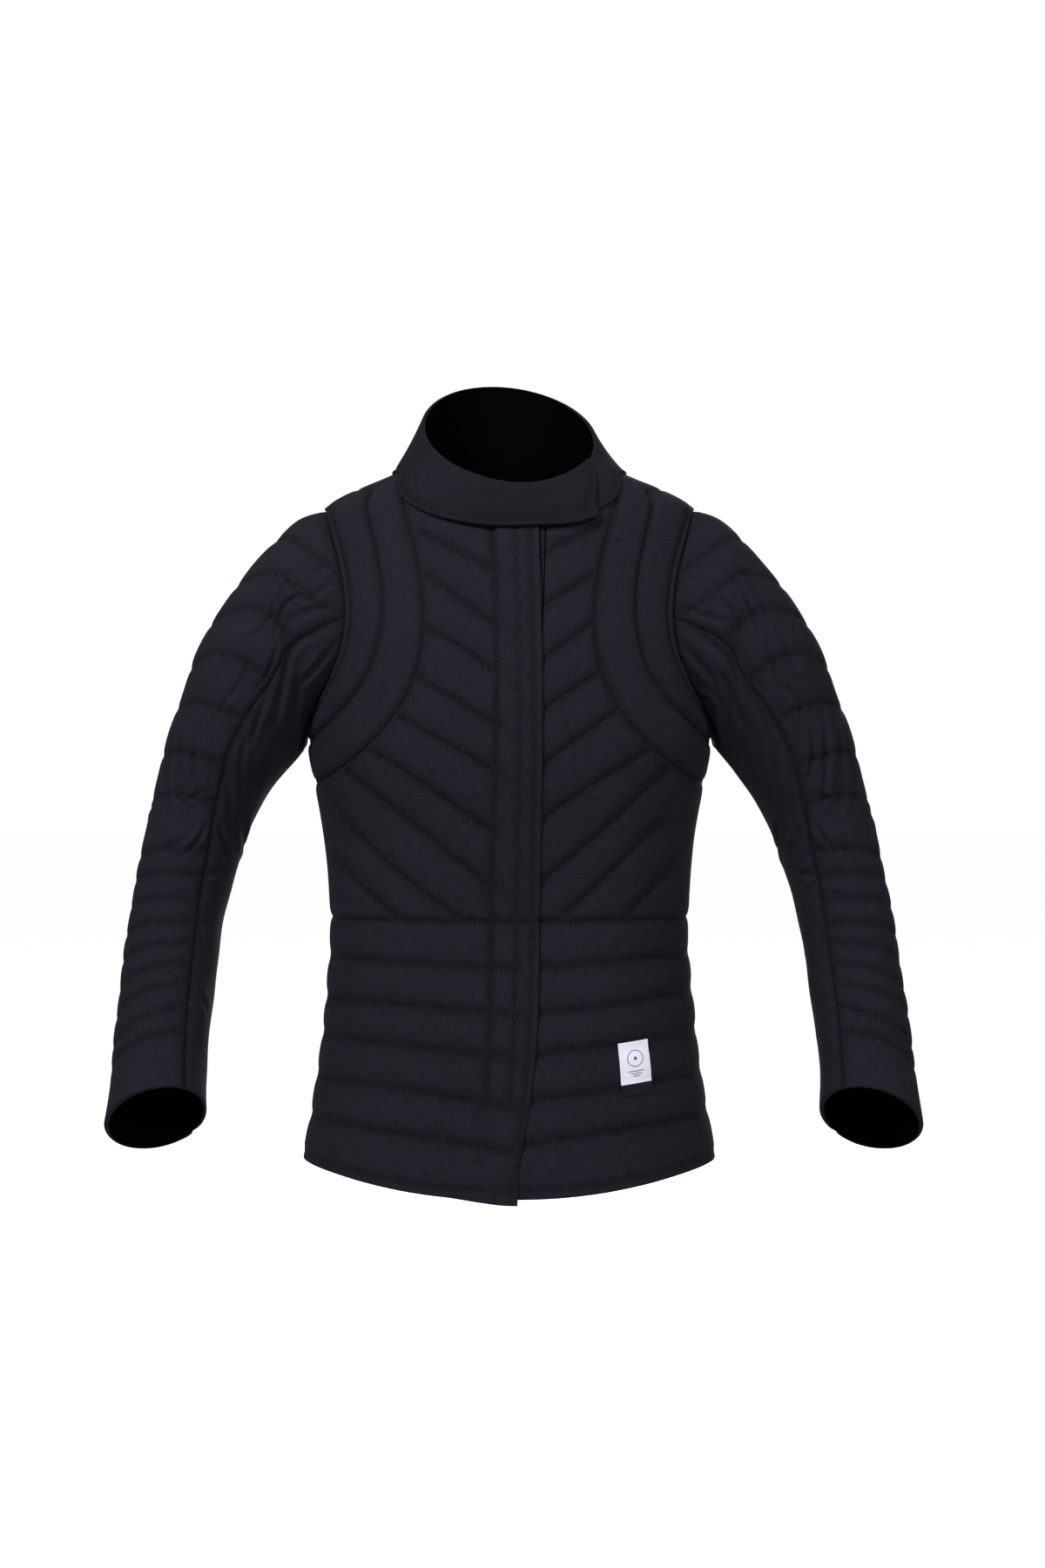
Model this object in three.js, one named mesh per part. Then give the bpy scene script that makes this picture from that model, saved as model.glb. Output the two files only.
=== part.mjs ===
import * as THREE from "three";

// A padded fencing jacket, hollow as it is when worn, with its neck, cuffs and hem open.
// Millimetres, +Z up. The front faces -Y and the wearer's left is +X. The origin is at the
// middle of the neck, level with the inner ends of the shoulder seams.

const wall = 3; // quilted cloth with its padding
const seamGap = 0.4; // between pieces that are sewn edge to edge
const layerGap = 0.6; // between layers that lie on each other
const lapRise = wall + layerGap; // the right front lies this far over the left front
const bodyPower = 2 / 2.3; // fullness of the body's cross sections, 1 is an ellipse

// The body's cross sections, outside of the cloth, from hem to neck.
const bodySections = [
  { z: -670, halfWidth: 197, front: 124, back: 125 },
  { z: -634, halfWidth: 192.5, front: 122, back: 124 },
  { z: -595, halfWidth: 185.5, front: 119, back: 121 },
  { z: -535, halfWidth: 176, front: 114, back: 115 },
  { z: -480, halfWidth: 170.5, front: 109, back: 108 },
  { z: -415, halfWidth: 167, front: 104, back: 100 },
  { z: -345, halfWidth: 172, front: 111, back: 102 },
  { z: -290, halfWidth: 181, front: 120, back: 108 },
  { z: -250, halfWidth: 188, front: 124, back: 113 },
  { z: -200, halfWidth: 186, front: 123, back: 117 },
  { z: -140, halfWidth: 184, front: 117, back: 119 },
  { z: -90, halfWidth: 183, front: 107, back: 116 },
  { z: -55, halfWidth: 181, front: 96, back: 110 },
  { z: -34, halfWidth: 175, front: 87, back: 103 },
  { z: -24, halfWidth: 162, front: 81, back: 98 },
  { z: -14, halfWidth: 141, front: 75, back: 93 },
  { z: -4, halfWidth: 117, front: 69, back: 88 },
  { z: 6, halfWidth: 99, front: 62, back: 83 },
  { z: 20, halfWidth: 86, front: 54, back: 75 },
];

// The sleeve's sections: its outer and inner edge seen from the front, the middle's place
// and half its depth from front to back, how far the section tips up at the front, and where
// the seams between upper and under sleeve cross it, from 0 at the outside to 180 inside.
const sleeveSections = [
  { outX: 200, outZ: -43, inX: 191.5, inZ: -247.5, y: 0, halfDepth: 80, tip: 0, seam: 98 },
  { outX: 233.5, outZ: -77, inX: 194, inZ: -256, y: 0, halfDepth: 81, tip: 0, seam: 101 },
  { outX: 265, outZ: -116.5, inX: 201, inZ: -264.5, y: 0, halfDepth: 78, tip: 0, seam: 103 },
  { outX: 289.5, outZ: -157.5, inX: 213, inZ: -278, y: 1, halfDepth: 73, tip: 0, seam: 103 },
  { outX: 306.5, outZ: -202.5, inX: 229, inZ: -299, y: 3, halfDepth: 67, tip: 0, seam: 104 },
  { outX: 320, outZ: -242, inX: 239.5, inZ: -320, y: 4, halfDepth: 61, tip: 0, seam: 109 },
  { outX: 331, outZ: -283, inX: 249.5, inZ: -344, y: 5, halfDepth: 56, tip: 0, seam: 114 },
  { outX: 340.5, outZ: -325.5, inX: 257.5, inZ: -370.5, y: 4, halfDepth: 53, tip: 1, seam: 119 },
  { outX: 348.5, outZ: -364, inX: 264.5, inZ: -395, y: 1, halfDepth: 51, tip: 5, seam: 123 },
  { outX: 354.5, outZ: -403, inX: 269.5, inZ: -421, y: -6, halfDepth: 49, tip: 10, seam: 127 },
  { outX: 358.5, outZ: -441, inX: 272, inZ: -447, y: -16, halfDepth: 48, tip: 16, seam: 128 },
  { outX: 361, outZ: -475, inX: 274.5, inZ: -473, y: -28, halfDepth: 47.5, tip: 22, seam: 130 },
  { outX: 363, outZ: -510, inX: 276.5, inZ: -501, y: -42, halfDepth: 47.5, tip: 27, seam: 131 },
  { outX: 364.5, outZ: -544, inX: 277.5, inZ: -531, y: -56, halfDepth: 48, tip: 32, seam: 132 },
  { outX: 365.5, outZ: -576, inX: 277, inZ: -560, y: -68, halfDepth: 49, tip: 36, seam: 132 },
  { outX: 367.5, outZ: -604, inX: 275, inZ: -583, y: -78, halfDepth: 50, tip: 39, seam: 132 },
];
const leftCuffShift = 9; // the left forearm hangs this much further out at its cuff
const capShare = 0.014; // the sleeve starts this share inside the armhole it is sewn into

// Ovals round the armhole on the body's surface. They reach forward by a turn in degrees.
// At the height h, from 1 at the top to -1 at the foot, the roundness is power - swing * h.
const armhole = { top: -32, foot: -240, reach: 38.5, power: 1.15, swing: 0.5 };
const armholeBack = { top: -32, foot: -240, reach: 33, power: 0.9, swing: 0.3 };
const bandSeam = { top: -16, foot: -250, reach: 54, power: 0.62, swing: 0.33 };
const bandEdge = { top: 0, foot: -287, reach: 68.2, power: 0.5, swing: 0.25 };

// The edge of the right front over the left, from neck to hem.
const lapEdge = [
  { z: -670, x: 7.5 },
  { z: -622, x: 10 },
  { z: -580, x: 18 },
  { z: -538, x: 23.5 },
  { z: -483, x: 26.5 },
  { z: -370, x: 28 },
  { z: -259, x: 30 },
  { z: -153, x: 29.5 },
  { z: -40, x: 26.5 },
];
const lapRamp = { from: -22, to: -3 }; // where the right front rises over the zip
const lapColumns = [6, -3, -12.5]; // x of the lap's columns, between its edge and the ramp's foot
// How far the left front stops from the lap's edge: out past it where the zip shows.
const leftEdgeOffset = [
  { z: -670, x: -6 },
  { z: -560, x: -5 },
  { z: -130, x: -5 },
  { z: -90, x: 1 },
  { z: -70, x: 4 },
  { z: -40, x: 5 },
];

const waistZ = -413;
const hem = { side: -639, frontDrop: 22, backDrop: 8 };
const neckLine = { front: -53, back: 16, power: 4.4, tuck: 2.2, tuckFront: 2.8 };
const collarRim = { halfWidth: 78, halfDepth: 70.5, y: -12.5, z: 38, rise: 55, roll: 9 };
const collarTurn = { start: 20, end: 404, endSlant: 22, liftFrom: 305, liftTo: 345 };
const collarGap = 1.2; // wider, since it bridges the curve of the shoulders
const collarLift = lapRise + 0.2;
const zip = { x: 4, top: -60, foot: -568, thickness: 1.6, sink: 0.3, sideGap: 0.8 };
const label = { fromTurn: 31, toTurn: 43, top: -522, foot: -559.5, thickness: 0.7 };
const labelTab = { foot: -569, corner: 5 };

const sections = { neckSteps: 4, ovalSteps: 12, sideSteps: 4, skirtRows: 7 };

const radians = THREE.MathUtils.degToRad;
const blend = THREE.MathUtils.lerp;
const ease = THREE.MathUtils.smoothstep;

// A smooth curve through one column of a table whose rows rise in z.
function tableAt(rows, column, z) {
  const last = rows.length - 1;
  let i = 0;
  while (i < last - 1 && z > rows[i + 1].z) i += 1;
  const [a, b] = [rows[i], rows[i + 1]];
  const slope = (j) => {
    const [before, after] = [rows[Math.max(j - 1, 0)], rows[Math.min(j + 1, last)]];
    return (after[column] - before[column]) / (after.z - before.z);
  };
  const span = b.z - a.z;
  const t = THREE.MathUtils.clamp((z - a.z) / span, 0, 1);
  const [t2, t3] = [t * t, t * t * t];
  return (
    a[column] * (2 * t3 - 3 * t2 + 1) +
    slope(i) * span * (t3 - 2 * t2 + t) +
    b[column] * (3 * t2 - 2 * t3) +
    slope(i + 1) * span * (t3 - t2)
  );
}

const signedPower = (value, power) => Math.sign(value) * Math.abs(value) ** power;

// A point of the body's surface. turn is in degrees round the body: 0 is the middle of the
// front, 90 the wearer's left side, 180 the middle of the back, and -90 the right side.
function bodySurface(turn, z) {
  const [s, c] = [Math.sin(radians(turn)), Math.cos(radians(turn))];
  const depth = tableAt(bodySections, c > 0 ? "front" : "back", z);
  return new THREE.Vector3(
    tableAt(bodySections, "halfWidth", z) * signedPower(s, bodyPower),
    -depth * signedPower(c, bodyPower),
    z,
  );
}

function bodyNormal(turn, z) {
  const around = bodySurface(turn + 1, z).sub(bodySurface(turn - 1, z));
  const up = bodySurface(turn, z + 1).sub(bodySurface(turn, z - 1));
  return around.cross(up).normalize();
}

const bodyPoint = (turn, z, out) =>
  bodySurface(turn, z).addScaledVector(bodyNormal(turn, z), out);

function turnAtX(x, z) {
  const share = Math.abs(x) / tableAt(bodySections, "halfWidth", z);
  return Math.sign(x) * THREE.MathUtils.radToDeg(Math.asin(share ** (1 / bodyPower)));
}

// A place on an oval round the armhole, as a turn and a height. phi is 0 at the shoulder
// and 180 under the arm.
function ovalAt(oval, phi, side = -1) {
  const height = Math.cos(radians(phi));
  const power = oval.power - oval.swing * height;
  const reach = oval.reach * Math.abs(Math.sin(radians(phi))) ** power;
  const middle = (oval.top + oval.foot) / 2;
  return [90 + side * reach, middle + ((oval.top - oval.foot) / 2) * height];
}

// The lower edge of the collar on the body, and the sewn neck edge that it hides.
function neckZ(turn) {
  const c = Math.cos(radians(turn));
  return c > 0 ? neckLine.front * c ** neckLine.power : neckLine.back * c * c;
}
const neckSeamZ = (turn) =>
  neckZ(turn) + neckLine.tuck + neckLine.tuckFront * Math.cos(radians(turn)) ** 2;

function hemZ(turn) {
  const c = Math.cos(radians(turn));
  return hem.side - (c > 0 ? hem.frontDrop * c ** 3 : hem.backDrop * c * c);
}

// The shoulder bands' inner edge meets the neck at this angle of its oval.
function neckCrossing() {
  let [low, high] = [5, 90];
  while (high - low > 1e-4) {
    const middle = (low + high) / 2;
    const [turn, z] = ovalAt(bandEdge, middle);
    if (z > neckSeamZ(turn)) low = middle;
    else high = middle;
  }
  return low;
}

const crossing = neckCrossing();
const steps = (count) => Array.from({ length: count + 1 }, (_, i) => i / count);
const frontAngles = [
  ...steps(sections.neckSteps).map((t) => crossing * t),
  ...steps(sections.ovalSteps)
    .slice(1)
    .map((t) => crossing + (180 - crossing) * (1 - (1 - t) ** 1.25)),
];
const everySecond = (list) => list.filter((_, i) => i % 2 === 0);

// ---- solids ----

// A closed wall between two grids of points, outer and inner, of the same size. From the
// column foldAt on, its squares are cut along their other diagonal, as in a mirror.
function wallGeometry(outer, inner, foldAt = Infinity) {
  const [rows, columns] = [outer.length, outer[0].length];
  const points = [...outer.flat(), ...inner.flat()];
  const at = (layer, row, column) => (layer * rows + row) * columns + column;
  const index = [];
  const quad = (a, b, c, d, folded = false) =>
    folded ? index.push(b, c, d, b, d, a) : index.push(a, b, c, a, c, d);
  for (let r = 0; r < rows - 1; r += 1)
    for (let c = 0; c < columns - 1; c += 1) {
      const folded = c >= foldAt;
      quad(at(0, r, c), at(0, r + 1, c), at(0, r + 1, c + 1), at(0, r, c + 1), folded);
      quad(at(1, r, c), at(1, r, c + 1), at(1, r + 1, c + 1), at(1, r + 1, c), folded);
    }
  for (let c = 0; c < columns - 1; c += 1) {
    quad(at(0, 0, c), at(0, 0, c + 1), at(1, 0, c + 1), at(1, 0, c));
    const r = rows - 1;
    quad(at(0, r, c + 1), at(0, r, c), at(1, r, c), at(1, r, c + 1));
  }
  for (let r = 0; r < rows - 1; r += 1) {
    quad(at(0, r + 1, 0), at(0, r, 0), at(1, r, 0), at(1, r + 1, 0));
    const c = columns - 1;
    quad(at(0, r, c), at(0, r + 1, c), at(1, r + 1, c), at(1, r, c));
  }
  if (signedVolume(points, index) < 0) index.reverse();
  const geometry = new THREE.BufferGeometry().setFromPoints(points);
  geometry.setIndex(index);
  geometry.computeVertexNormals();
  return geometry;
}

function signedVolume(points, index) {
  let total = 0;
  for (let i = 0; i < index.length; i += 3) {
    const [a, b, c] = [points[index[i]], points[index[i + 1]], points[index[i + 2]]];
    total += a.dot(new THREE.Vector3().crossVectors(b, c));
  }
  return total;
}

// Draws the border of a grid of [turn, z] or of points back by half the seam gap.
function inset(grid) {
  const half = seamGap / 2;
  const toward = (a, b) => a.clone().addScaledVector(b.clone().sub(a).normalize(), half);
  const [rows, columns] = [grid.length, grid[0].length];
  const across = grid.map((row) => {
    const next = row.slice();
    next[0] = toward(row[0], row[1]);
    next[columns - 1] = toward(row[columns - 1], row[columns - 2]);
    return next;
  });
  const result = across.map((row) => row.slice());
  for (let c = 0; c < columns; c += 1) {
    result[0][c] = toward(across[0][c], across[1][c]);
    result[rows - 1][c] = toward(across[rows - 1][c], across[rows - 2][c]);
  }
  return result;
}

// A wall on the body's surface from a grid of [turn, z]. lift(turn, z) moves it outwards.
function bodyWall(places, lift = () => 0, thickness = wall, foldAt = Infinity) {
  const layer = (depth) =>
    inset(places.map((row) => row.map(([turn, z]) => bodyPoint(turn, z, lift(turn, z) - depth))));
  return wallGeometry(layer(0), layer(thickness), foldAt);
}

// Fills a patch of [turn, z] between four borders (a Coons patch). left and right hold the
// same number of places, from top to foot, and top and foot as many as each other.
function patch({ top, foot, left, right }) {
  const shares = (border) => {
    const lengths = [0];
    for (let i = 1; i < border.length; i += 1) {
      const step = bodySurface(...border[i]).distanceTo(bodySurface(...border[i - 1]));
      lengths.push(lengths[i - 1] + step);
    }
    return lengths.map((l) => l / lengths[lengths.length - 1]);
  };
  const [vs, us] = [shares(right), shares(top)];
  return vs.map((v, r) =>
    us.map((u, c) =>
      [0, 1].map(
        (k) =>
          (1 - v) * top[c][k] +
          v * foot[c][k] +
          (1 - u) * left[r][k] +
          u * right[r][k] -
          (1 - u) * ((1 - v) * top[0][k] + v * foot[0][k]) -
          u * ((1 - v) * top[top.length - 1][k] + v * foot[foot.length - 1][k]),
      ),
    ),
  );
}

const mirrored = (places) => places.map(([turn, z]) => [-turn, z]);

// ---- fronts ----

const lapX = (z) => tableAt(lapEdge, "x", z);
const leftEdgeX = (z) => lapX(z) + tableAt(leftEdgeOffset, "x", z);
const lapLift = (turn, z) =>
  lapRise * ease(bodySurface(turn, z).x, lapRamp.from, lapRamp.to);

// The place where an edge given by its x meets a line given by its z at each turn.
function edgeMeets(edgeX, lineZ) {
  let z = lineZ(0);
  for (let i = 0; i < 20; i += 1) z = lineZ(turnAtX(edgeX(z), z));
  return [turnAtX(edgeX(z), z), z];
}

// Adds the lap's columns before the first column of the right front's places. The first and
// last rows follow the neck and the foot line.
function withLap(places, topZ, footZ) {
  return places.map((row, r) => {
    const z = row[0][1];
    const strip = [lapX(z), ...lapColumns].map((x) => {
      const turn = turnAtX(x, z);
      if (r === 0) return [turn, topZ(turn)];
      return [turn, r === places.length - 1 ? footZ(turn) : z];
    });
    return [...strip, ...row];
  });
}

const rampX = () => lapRamp.from;
const waistLine = () => waistZ;

function chest(side, edgeX, columns) {
  const sideSeam = steps(sections.sideSteps)
    .slice(1)
    .map((t) => [90, blend(bandEdge.foot, waistZ, t)]);
  const right = [
    ...frontAngles.slice(sections.neckSteps).map((phi) => ovalAt(bandEdge, phi)),
    ...sideSeam,
  ].map(([turn, z]) => [side * turn, z]);
  const start = edgeMeets(edgeX, neckSeamZ);
  const last = right.length - 1;
  const left = right.map((_, i) => {
    const z = blend(start[1], waistZ, i / last);
    return [turnAtX(edgeX(z), z), z];
  });
  const top = steps(columns).map((t) => {
    const turn = blend(start[0], right[0][0], t);
    return [turn, neckSeamZ(turn)];
  });
  top[columns] = right[0];
  const foot = steps(columns).map((t) => [blend(left[last][0], side * 90, t), waistZ]);
  return patch({ top, foot, left, right });
}

function frontSkirt(side, edgeX, columns) {
  const corner = edgeMeets(edgeX, hemZ);
  const places = steps(sections.skirtRows).map((v) =>
    steps(columns).map((u) => {
      const edgeZ = blend(waistZ, corner[1], v);
      const turn = blend(turnAtX(edgeX(edgeZ), edgeZ), side * 90, u);
      return [turn, blend(waistZ, hemZ(turn), v)];
    }),
  );
  return places;
}

// ---- shoulder bands, from the shoulder seam round the front of the armhole ----

function bandInnerBorder() {
  return frontAngles.map((phi, i) => {
    if (i > sections.neckSteps) return ovalAt(bandEdge, phi);
    const turn = blend(90, ovalAt(bandEdge, crossing)[0], i / sections.neckSteps);
    return [turn, neckSeamZ(turn)];
  });
}

function band(side, from, to) {
  const across = 2;
  const places = steps(across).map((t) =>
    from.map((place, i) => [0, 1].map((k) => blend(place[k], to[i][k], t))),
  );
  return bodyWall(places.map((row) => (side < 0 ? mirrored(row) : row)));
}

// ---- back ----

function backChest() {
  const [neckColumns, shoulderColumns] = [8, 3];
  const sideRows = 5;
  const armEdge = everySecond(frontAngles).map((phi) => ovalAt(armholeBack, phi, 1));
  const right = [
    ...armEdge,
    ...steps(sideRows)
      .slice(1)
      .map((t) => [90, blend(armholeBack.foot, waistZ, t)]),
  ];
  const last = right.length - 1;
  const left = right.map((_, i) => [180, blend(neckSeamZ(180), waistZ, i / last)]);
  const top = [
    ...steps(neckColumns).map((t) => [blend(180, 90, t), neckSeamZ(blend(180, 90, t))]),
    ...steps(shoulderColumns)
      .slice(1)
      .map((t) => [90, blend(neckSeamZ(90), armholeBack.top, t)]),
  ];
  const foot = top.map((_, i) => [blend(180, 90, i / (top.length - 1)), waistZ]);
  const half = patch({ top, foot, left, right });
  const whole = half.map((row) => [...mirrored(row.slice(1)).reverse(), ...row].map(aroundBack));
  return bodyWall(whole, () => 0, wall, top.length - 1);
}

// Turns past the middle of the back go on above 180, so that a row has no jump.
const aroundBack = ([turn, z]) => [turn < 0 ? turn + 360 : turn, z];

function backSkirt() {
  const columns = 20;
  const places = steps(sections.skirtRows).map((v) =>
    steps(columns).map((u) => {
      const turn = blend(90, 270, u);
      return [turn, blend(waistZ, hemZ(turn), v)];
    }),
  );
  return bodyWall(places);
}

// ---- sleeves ----

// Where a place of the armhole lies round the sleeve: 0 at the shoulder, 90 in front.
function sleeveAngle(place) {
  const p = bodySurface(...place);
  const [middle, half] = [(armhole.top + armhole.foot) / 2, (armhole.top - armhole.foot) / 2];
  const halfDepth = sleeveSections[0].halfDepth;
  return THREE.MathUtils.radToDeg(Math.atan2(-p.y / halfDepth, (p.z - middle) / half));
}

function sleeveSection(row, angle, shift) {
  const [s, c] = [Math.sin(radians(angle)), Math.cos(radians(angle))];
  const tip = radians(row.tip);
  return new THREE.Vector3(
    (row.outX + row.inX) / 2 + ((row.outX - row.inX) / 2) * c + shift,
    row.y - row.halfDepth * s * Math.cos(tip),
    (row.outZ + row.inZ) / 2 + ((row.outZ - row.inZ) / 2) * c + row.halfDepth * s * Math.sin(tip),
  );
}

// One line down the sleeve. The seam between the upper and the under sleeve goes from the
// front of the armhole towards the inside of the wrist, and the lines beside it follow it.
function sleeveColumn(place, seam, shiftAtCuff) {
  const start = sleeveAngle(place);
  const rows = sleeveSections.map((row, i) => {
    const share = i / (sleeveSections.length - 1);
    const size = Math.abs(start);
    const moved =
      size <= seam
        ? (size * row.seam) / seam
        : 180 - ((180 - size) * (180 - row.seam)) / (180 - seam);
    return sleeveSection(row, Math.sign(start) * moved, shiftAtCuff * share * share);
  });
  const middle = [90, (armhole.top + armhole.foot) / 2];
  const cap = bodyPoint(...[0, 1].map((k) => blend(place[k], middle[k], capShare)), layerGap);
  return [cap, ...rows];
}

// All columns of a sleeve, round from the seam at the back over the shoulder, and on.
function sleeve(side) {
  const front = everySecond(frontAngles).map((phi) => ovalAt(armhole, phi));
  const back = everySecond(frontAngles).map((phi) => ovalAt(armholeBack, phi, 1));
  const nearest = (places) => {
    const gaps = places.map((place) => Math.abs(Math.abs(sleeveAngle(place)) - 90));
    return gaps.indexOf(Math.min(...gaps));
  };
  const [frontSeam, backSeam] = [nearest(front), nearest(back)];
  const shift = side > 0 ? leftCuffShift : 0;
  const columnsOf = (places, seamIndex) => {
    const seam = Math.abs(sleeveAngle(places[seamIndex]));
    return places.map((place) => sleeveColumn(place, seam, shift));
  };
  const ring = [
    ...columnsOf(front, frontSeam),
    ...columnsOf(back, backSeam).slice(1, -1).reverse(),
  ];
  const count = ring.length;
  const inner = ring.map((column, i) => {
    const [before, after] = [ring[(i + count - 1) % count], ring[(i + 1) % count]];
    return column.map((point, r) => {
      const along = column[Math.min(r + 1, column.length - 1)].clone();
      along.sub(column[Math.max(r - 1, 0)]);
      const around = after[r].clone().sub(before[r]);
      return point.clone().addScaledVector(around.cross(along).normalize(), -wall);
    });
  });
  const flip = (p) => new THREE.Vector3(side * p.x, p.y, p.z);
  const piece = (from, to) => {
    const pick = (grid) =>
      inset(steps(to - from).map((_, i) => grid[(from + i + count) % count].map(flip)));
    return wallGeometry(pick(ring), pick(inner));
  };
  return {
    upper: piece(-backSeam, frontSeam),
    under: piece(frontSeam, count - backSeam),
  };
}

// ---- collar: one band that goes round the neck and laps over its own start ----

function turnAtPolar(polar) {
  const whole = Math.floor((polar + 180) / 360) * 360;
  const local = polar - whole;
  let [low, high] = [0, 180];
  while (high - low > 1e-4) {
    const middle = (low + high) / 2;
    const p = bodySurface(middle, neckZ(middle));
    if (THREE.MathUtils.radToDeg(Math.atan2(p.x, -p.y)) < Math.abs(local)) low = middle;
    else high = middle;
  }
  return Math.sign(local) * low;
}

function collarSurface(polar, t) {
  const turn = turnAtPolar(polar);
  const angle = radians(polar);
  const rim = new THREE.Vector3(
    collarRim.halfWidth * Math.sin(angle),
    collarRim.y - collarRim.halfDepth * Math.cos(angle),
    collarRim.z - collarRim.rise * Math.cos(angle) - collarRim.roll * Math.sin(angle),
  );
  return bodySurface(turn, neckSeamZ(turn)).lerp(rim, t);
}

function collarPoint(polar, t, out) {
  const turn = turnAtPolar(polar);
  if (t < 0) return bodyPoint(turn, neckZ(turn), out);
  const around = collarSurface(polar + 1, t).sub(collarSurface(polar - 1, t));
  const up = collarSurface(polar, t + 0.05).sub(collarSurface(polar, t));
  const own = around.cross(up).normalize();
  const normal = bodyNormal(turn, neckSeamZ(turn)).lerp(own, ease(t, -0.2, 0.35)).normalize();
  return collarSurface(polar, t).addScaledVector(normal, out);
}

function collar() {
  const columns = 40;
  const layer = (depth) =>
    [-1, 0, 0.3, 0.55, 0.8, 1].map((t) =>
      steps(columns).map((u) => {
        const end = collarTurn.end + collarTurn.endSlant * Math.max(t, 0);
        const polar = blend(collarTurn.start, end, u);
        const lift = collarGap + collarLift * ease(polar, collarTurn.liftFrom, collarTurn.liftTo);
        return collarPoint(polar, t, lift + depth);
      }),
    );
  return wallGeometry(layer(wall), layer(0));
}

// ---- zip, label and its tab ----

function zipTape() {
  const rows = 30;
  const places = steps(rows).map((v) => {
    const z = blend(zip.top, zip.foot, v);
    const far = leftEdgeX(z) - zip.sideGap;
    return steps(2).map((u) => [turnAtX(blend(zip.x, far, u), z), z]);
  });
  return bodyWall(places, () => -zip.sink, zip.thickness);
}

function labelWall(top, foot, corner) {
  const places = steps(3).map((v) =>
    steps(4).map((u) => {
      const cut = corner * (1 - Math.min(u * 4, 1));
      return [blend(label.fromTurn, label.toTurn, u), blend(top, foot + cut, v)];
    }),
  );
  return bodyWall(places, () => layerGap + label.thickness, label.thickness);
}

// ---- the jacket ----

const finishes = {
  quilted: { color: 0x14121d, roughness: 0.86, metalness: 0 },
  plain: { color: 0x13111b, roughness: 0.82, metalness: 0 },
  zip: { color: 0x0b0b0e, roughness: 0.5, metalness: 0 },
  label: { color: 0xd7d5de, roughness: 0.7, metalness: 0 },
  tab: { color: 0x101014, roughness: 0.7, metalness: 0 },
};

const jacket = new THREE.Group();

function add(name, geometry, finish) {
  const material = new THREE.MeshStandardMaterial(finishes[finish]);
  const mesh = new THREE.Mesh(geometry, material);
  mesh.name = name;
  jacket.add(mesh);
}

const rightChest = withLap(chest(-1, rampX, 8), neckSeamZ, waistLine);
const rightSkirt = withLap(frontSkirt(-1, rampX, 9), waistLine, hemZ);
add("front_right_chest", bodyWall(rightChest, lapLift), "quilted");
add("front_left_chest", bodyWall(chest(1, leftEdgeX, 8)), "quilted");
add("front_right_skirt", bodyWall(rightSkirt, lapLift), "quilted");
add("front_left_skirt", bodyWall(frontSkirt(1, leftEdgeX, 10)), "quilted");
add("back_chest", backChest(), "quilted");
add("back_skirt", backSkirt(), "quilted");

const armholeBorder = frontAngles.map((phi) => ovalAt(armhole, phi));
const seamBorder = frontAngles.map((phi) => ovalAt(bandSeam, phi));
for (const [side, name] of [
  [-1, "right"],
  [1, "left"],
]) {
  add("shoulder_band_outer_" + name, band(side, armholeBorder, seamBorder), "quilted");
  add("shoulder_band_inner_" + name, band(side, seamBorder, bandInnerBorder()), "quilted");
  const { upper, under } = sleeve(side);
  add("sleeve_" + name + "_upper", upper, "quilted");
  add("sleeve_" + name + "_under", under, "quilted");
}

add("collar", collar(), "plain");
add("zip", zipTape(), "zip");
add("label", labelWall(label.top, label.foot, 0), "label");
add("label_tab", labelWall(label.foot - seamGap, labelTab.foot, labelTab.corner), "tab");

export default jacket;
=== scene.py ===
import math
import bpy
import numpy as np
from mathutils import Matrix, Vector
from mathutils.bvhtree import BVHTree


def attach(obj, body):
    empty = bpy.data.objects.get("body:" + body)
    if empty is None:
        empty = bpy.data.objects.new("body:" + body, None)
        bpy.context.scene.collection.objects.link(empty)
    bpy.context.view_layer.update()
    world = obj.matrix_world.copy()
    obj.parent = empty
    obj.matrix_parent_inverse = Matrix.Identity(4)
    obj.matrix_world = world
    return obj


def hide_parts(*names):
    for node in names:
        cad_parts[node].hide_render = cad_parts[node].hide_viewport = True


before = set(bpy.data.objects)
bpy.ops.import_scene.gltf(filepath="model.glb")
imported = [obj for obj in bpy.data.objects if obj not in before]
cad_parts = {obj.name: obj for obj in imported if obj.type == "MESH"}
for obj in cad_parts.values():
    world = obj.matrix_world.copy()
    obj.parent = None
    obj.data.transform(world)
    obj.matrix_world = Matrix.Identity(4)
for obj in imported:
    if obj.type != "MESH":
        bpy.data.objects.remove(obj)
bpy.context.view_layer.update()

print("frame loaded")

# The forms below are worked out in millimetres and made in metres.
mm = 0.001


def namedColumns(names, rows):
    return dict(zip(names.split(), np.array(rows, float).T))


def blend(a, b, t):
    return a + (b - a) * t


def ease(value, low, high):
    t = np.clip((value - low) / (high - low), 0, 1)
    return t * t * (3 - 2 * t)


def unit(vectors):
    return vectors / np.maximum(np.linalg.norm(vectors, axis=-1, keepdims=True), 1e-9)


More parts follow.
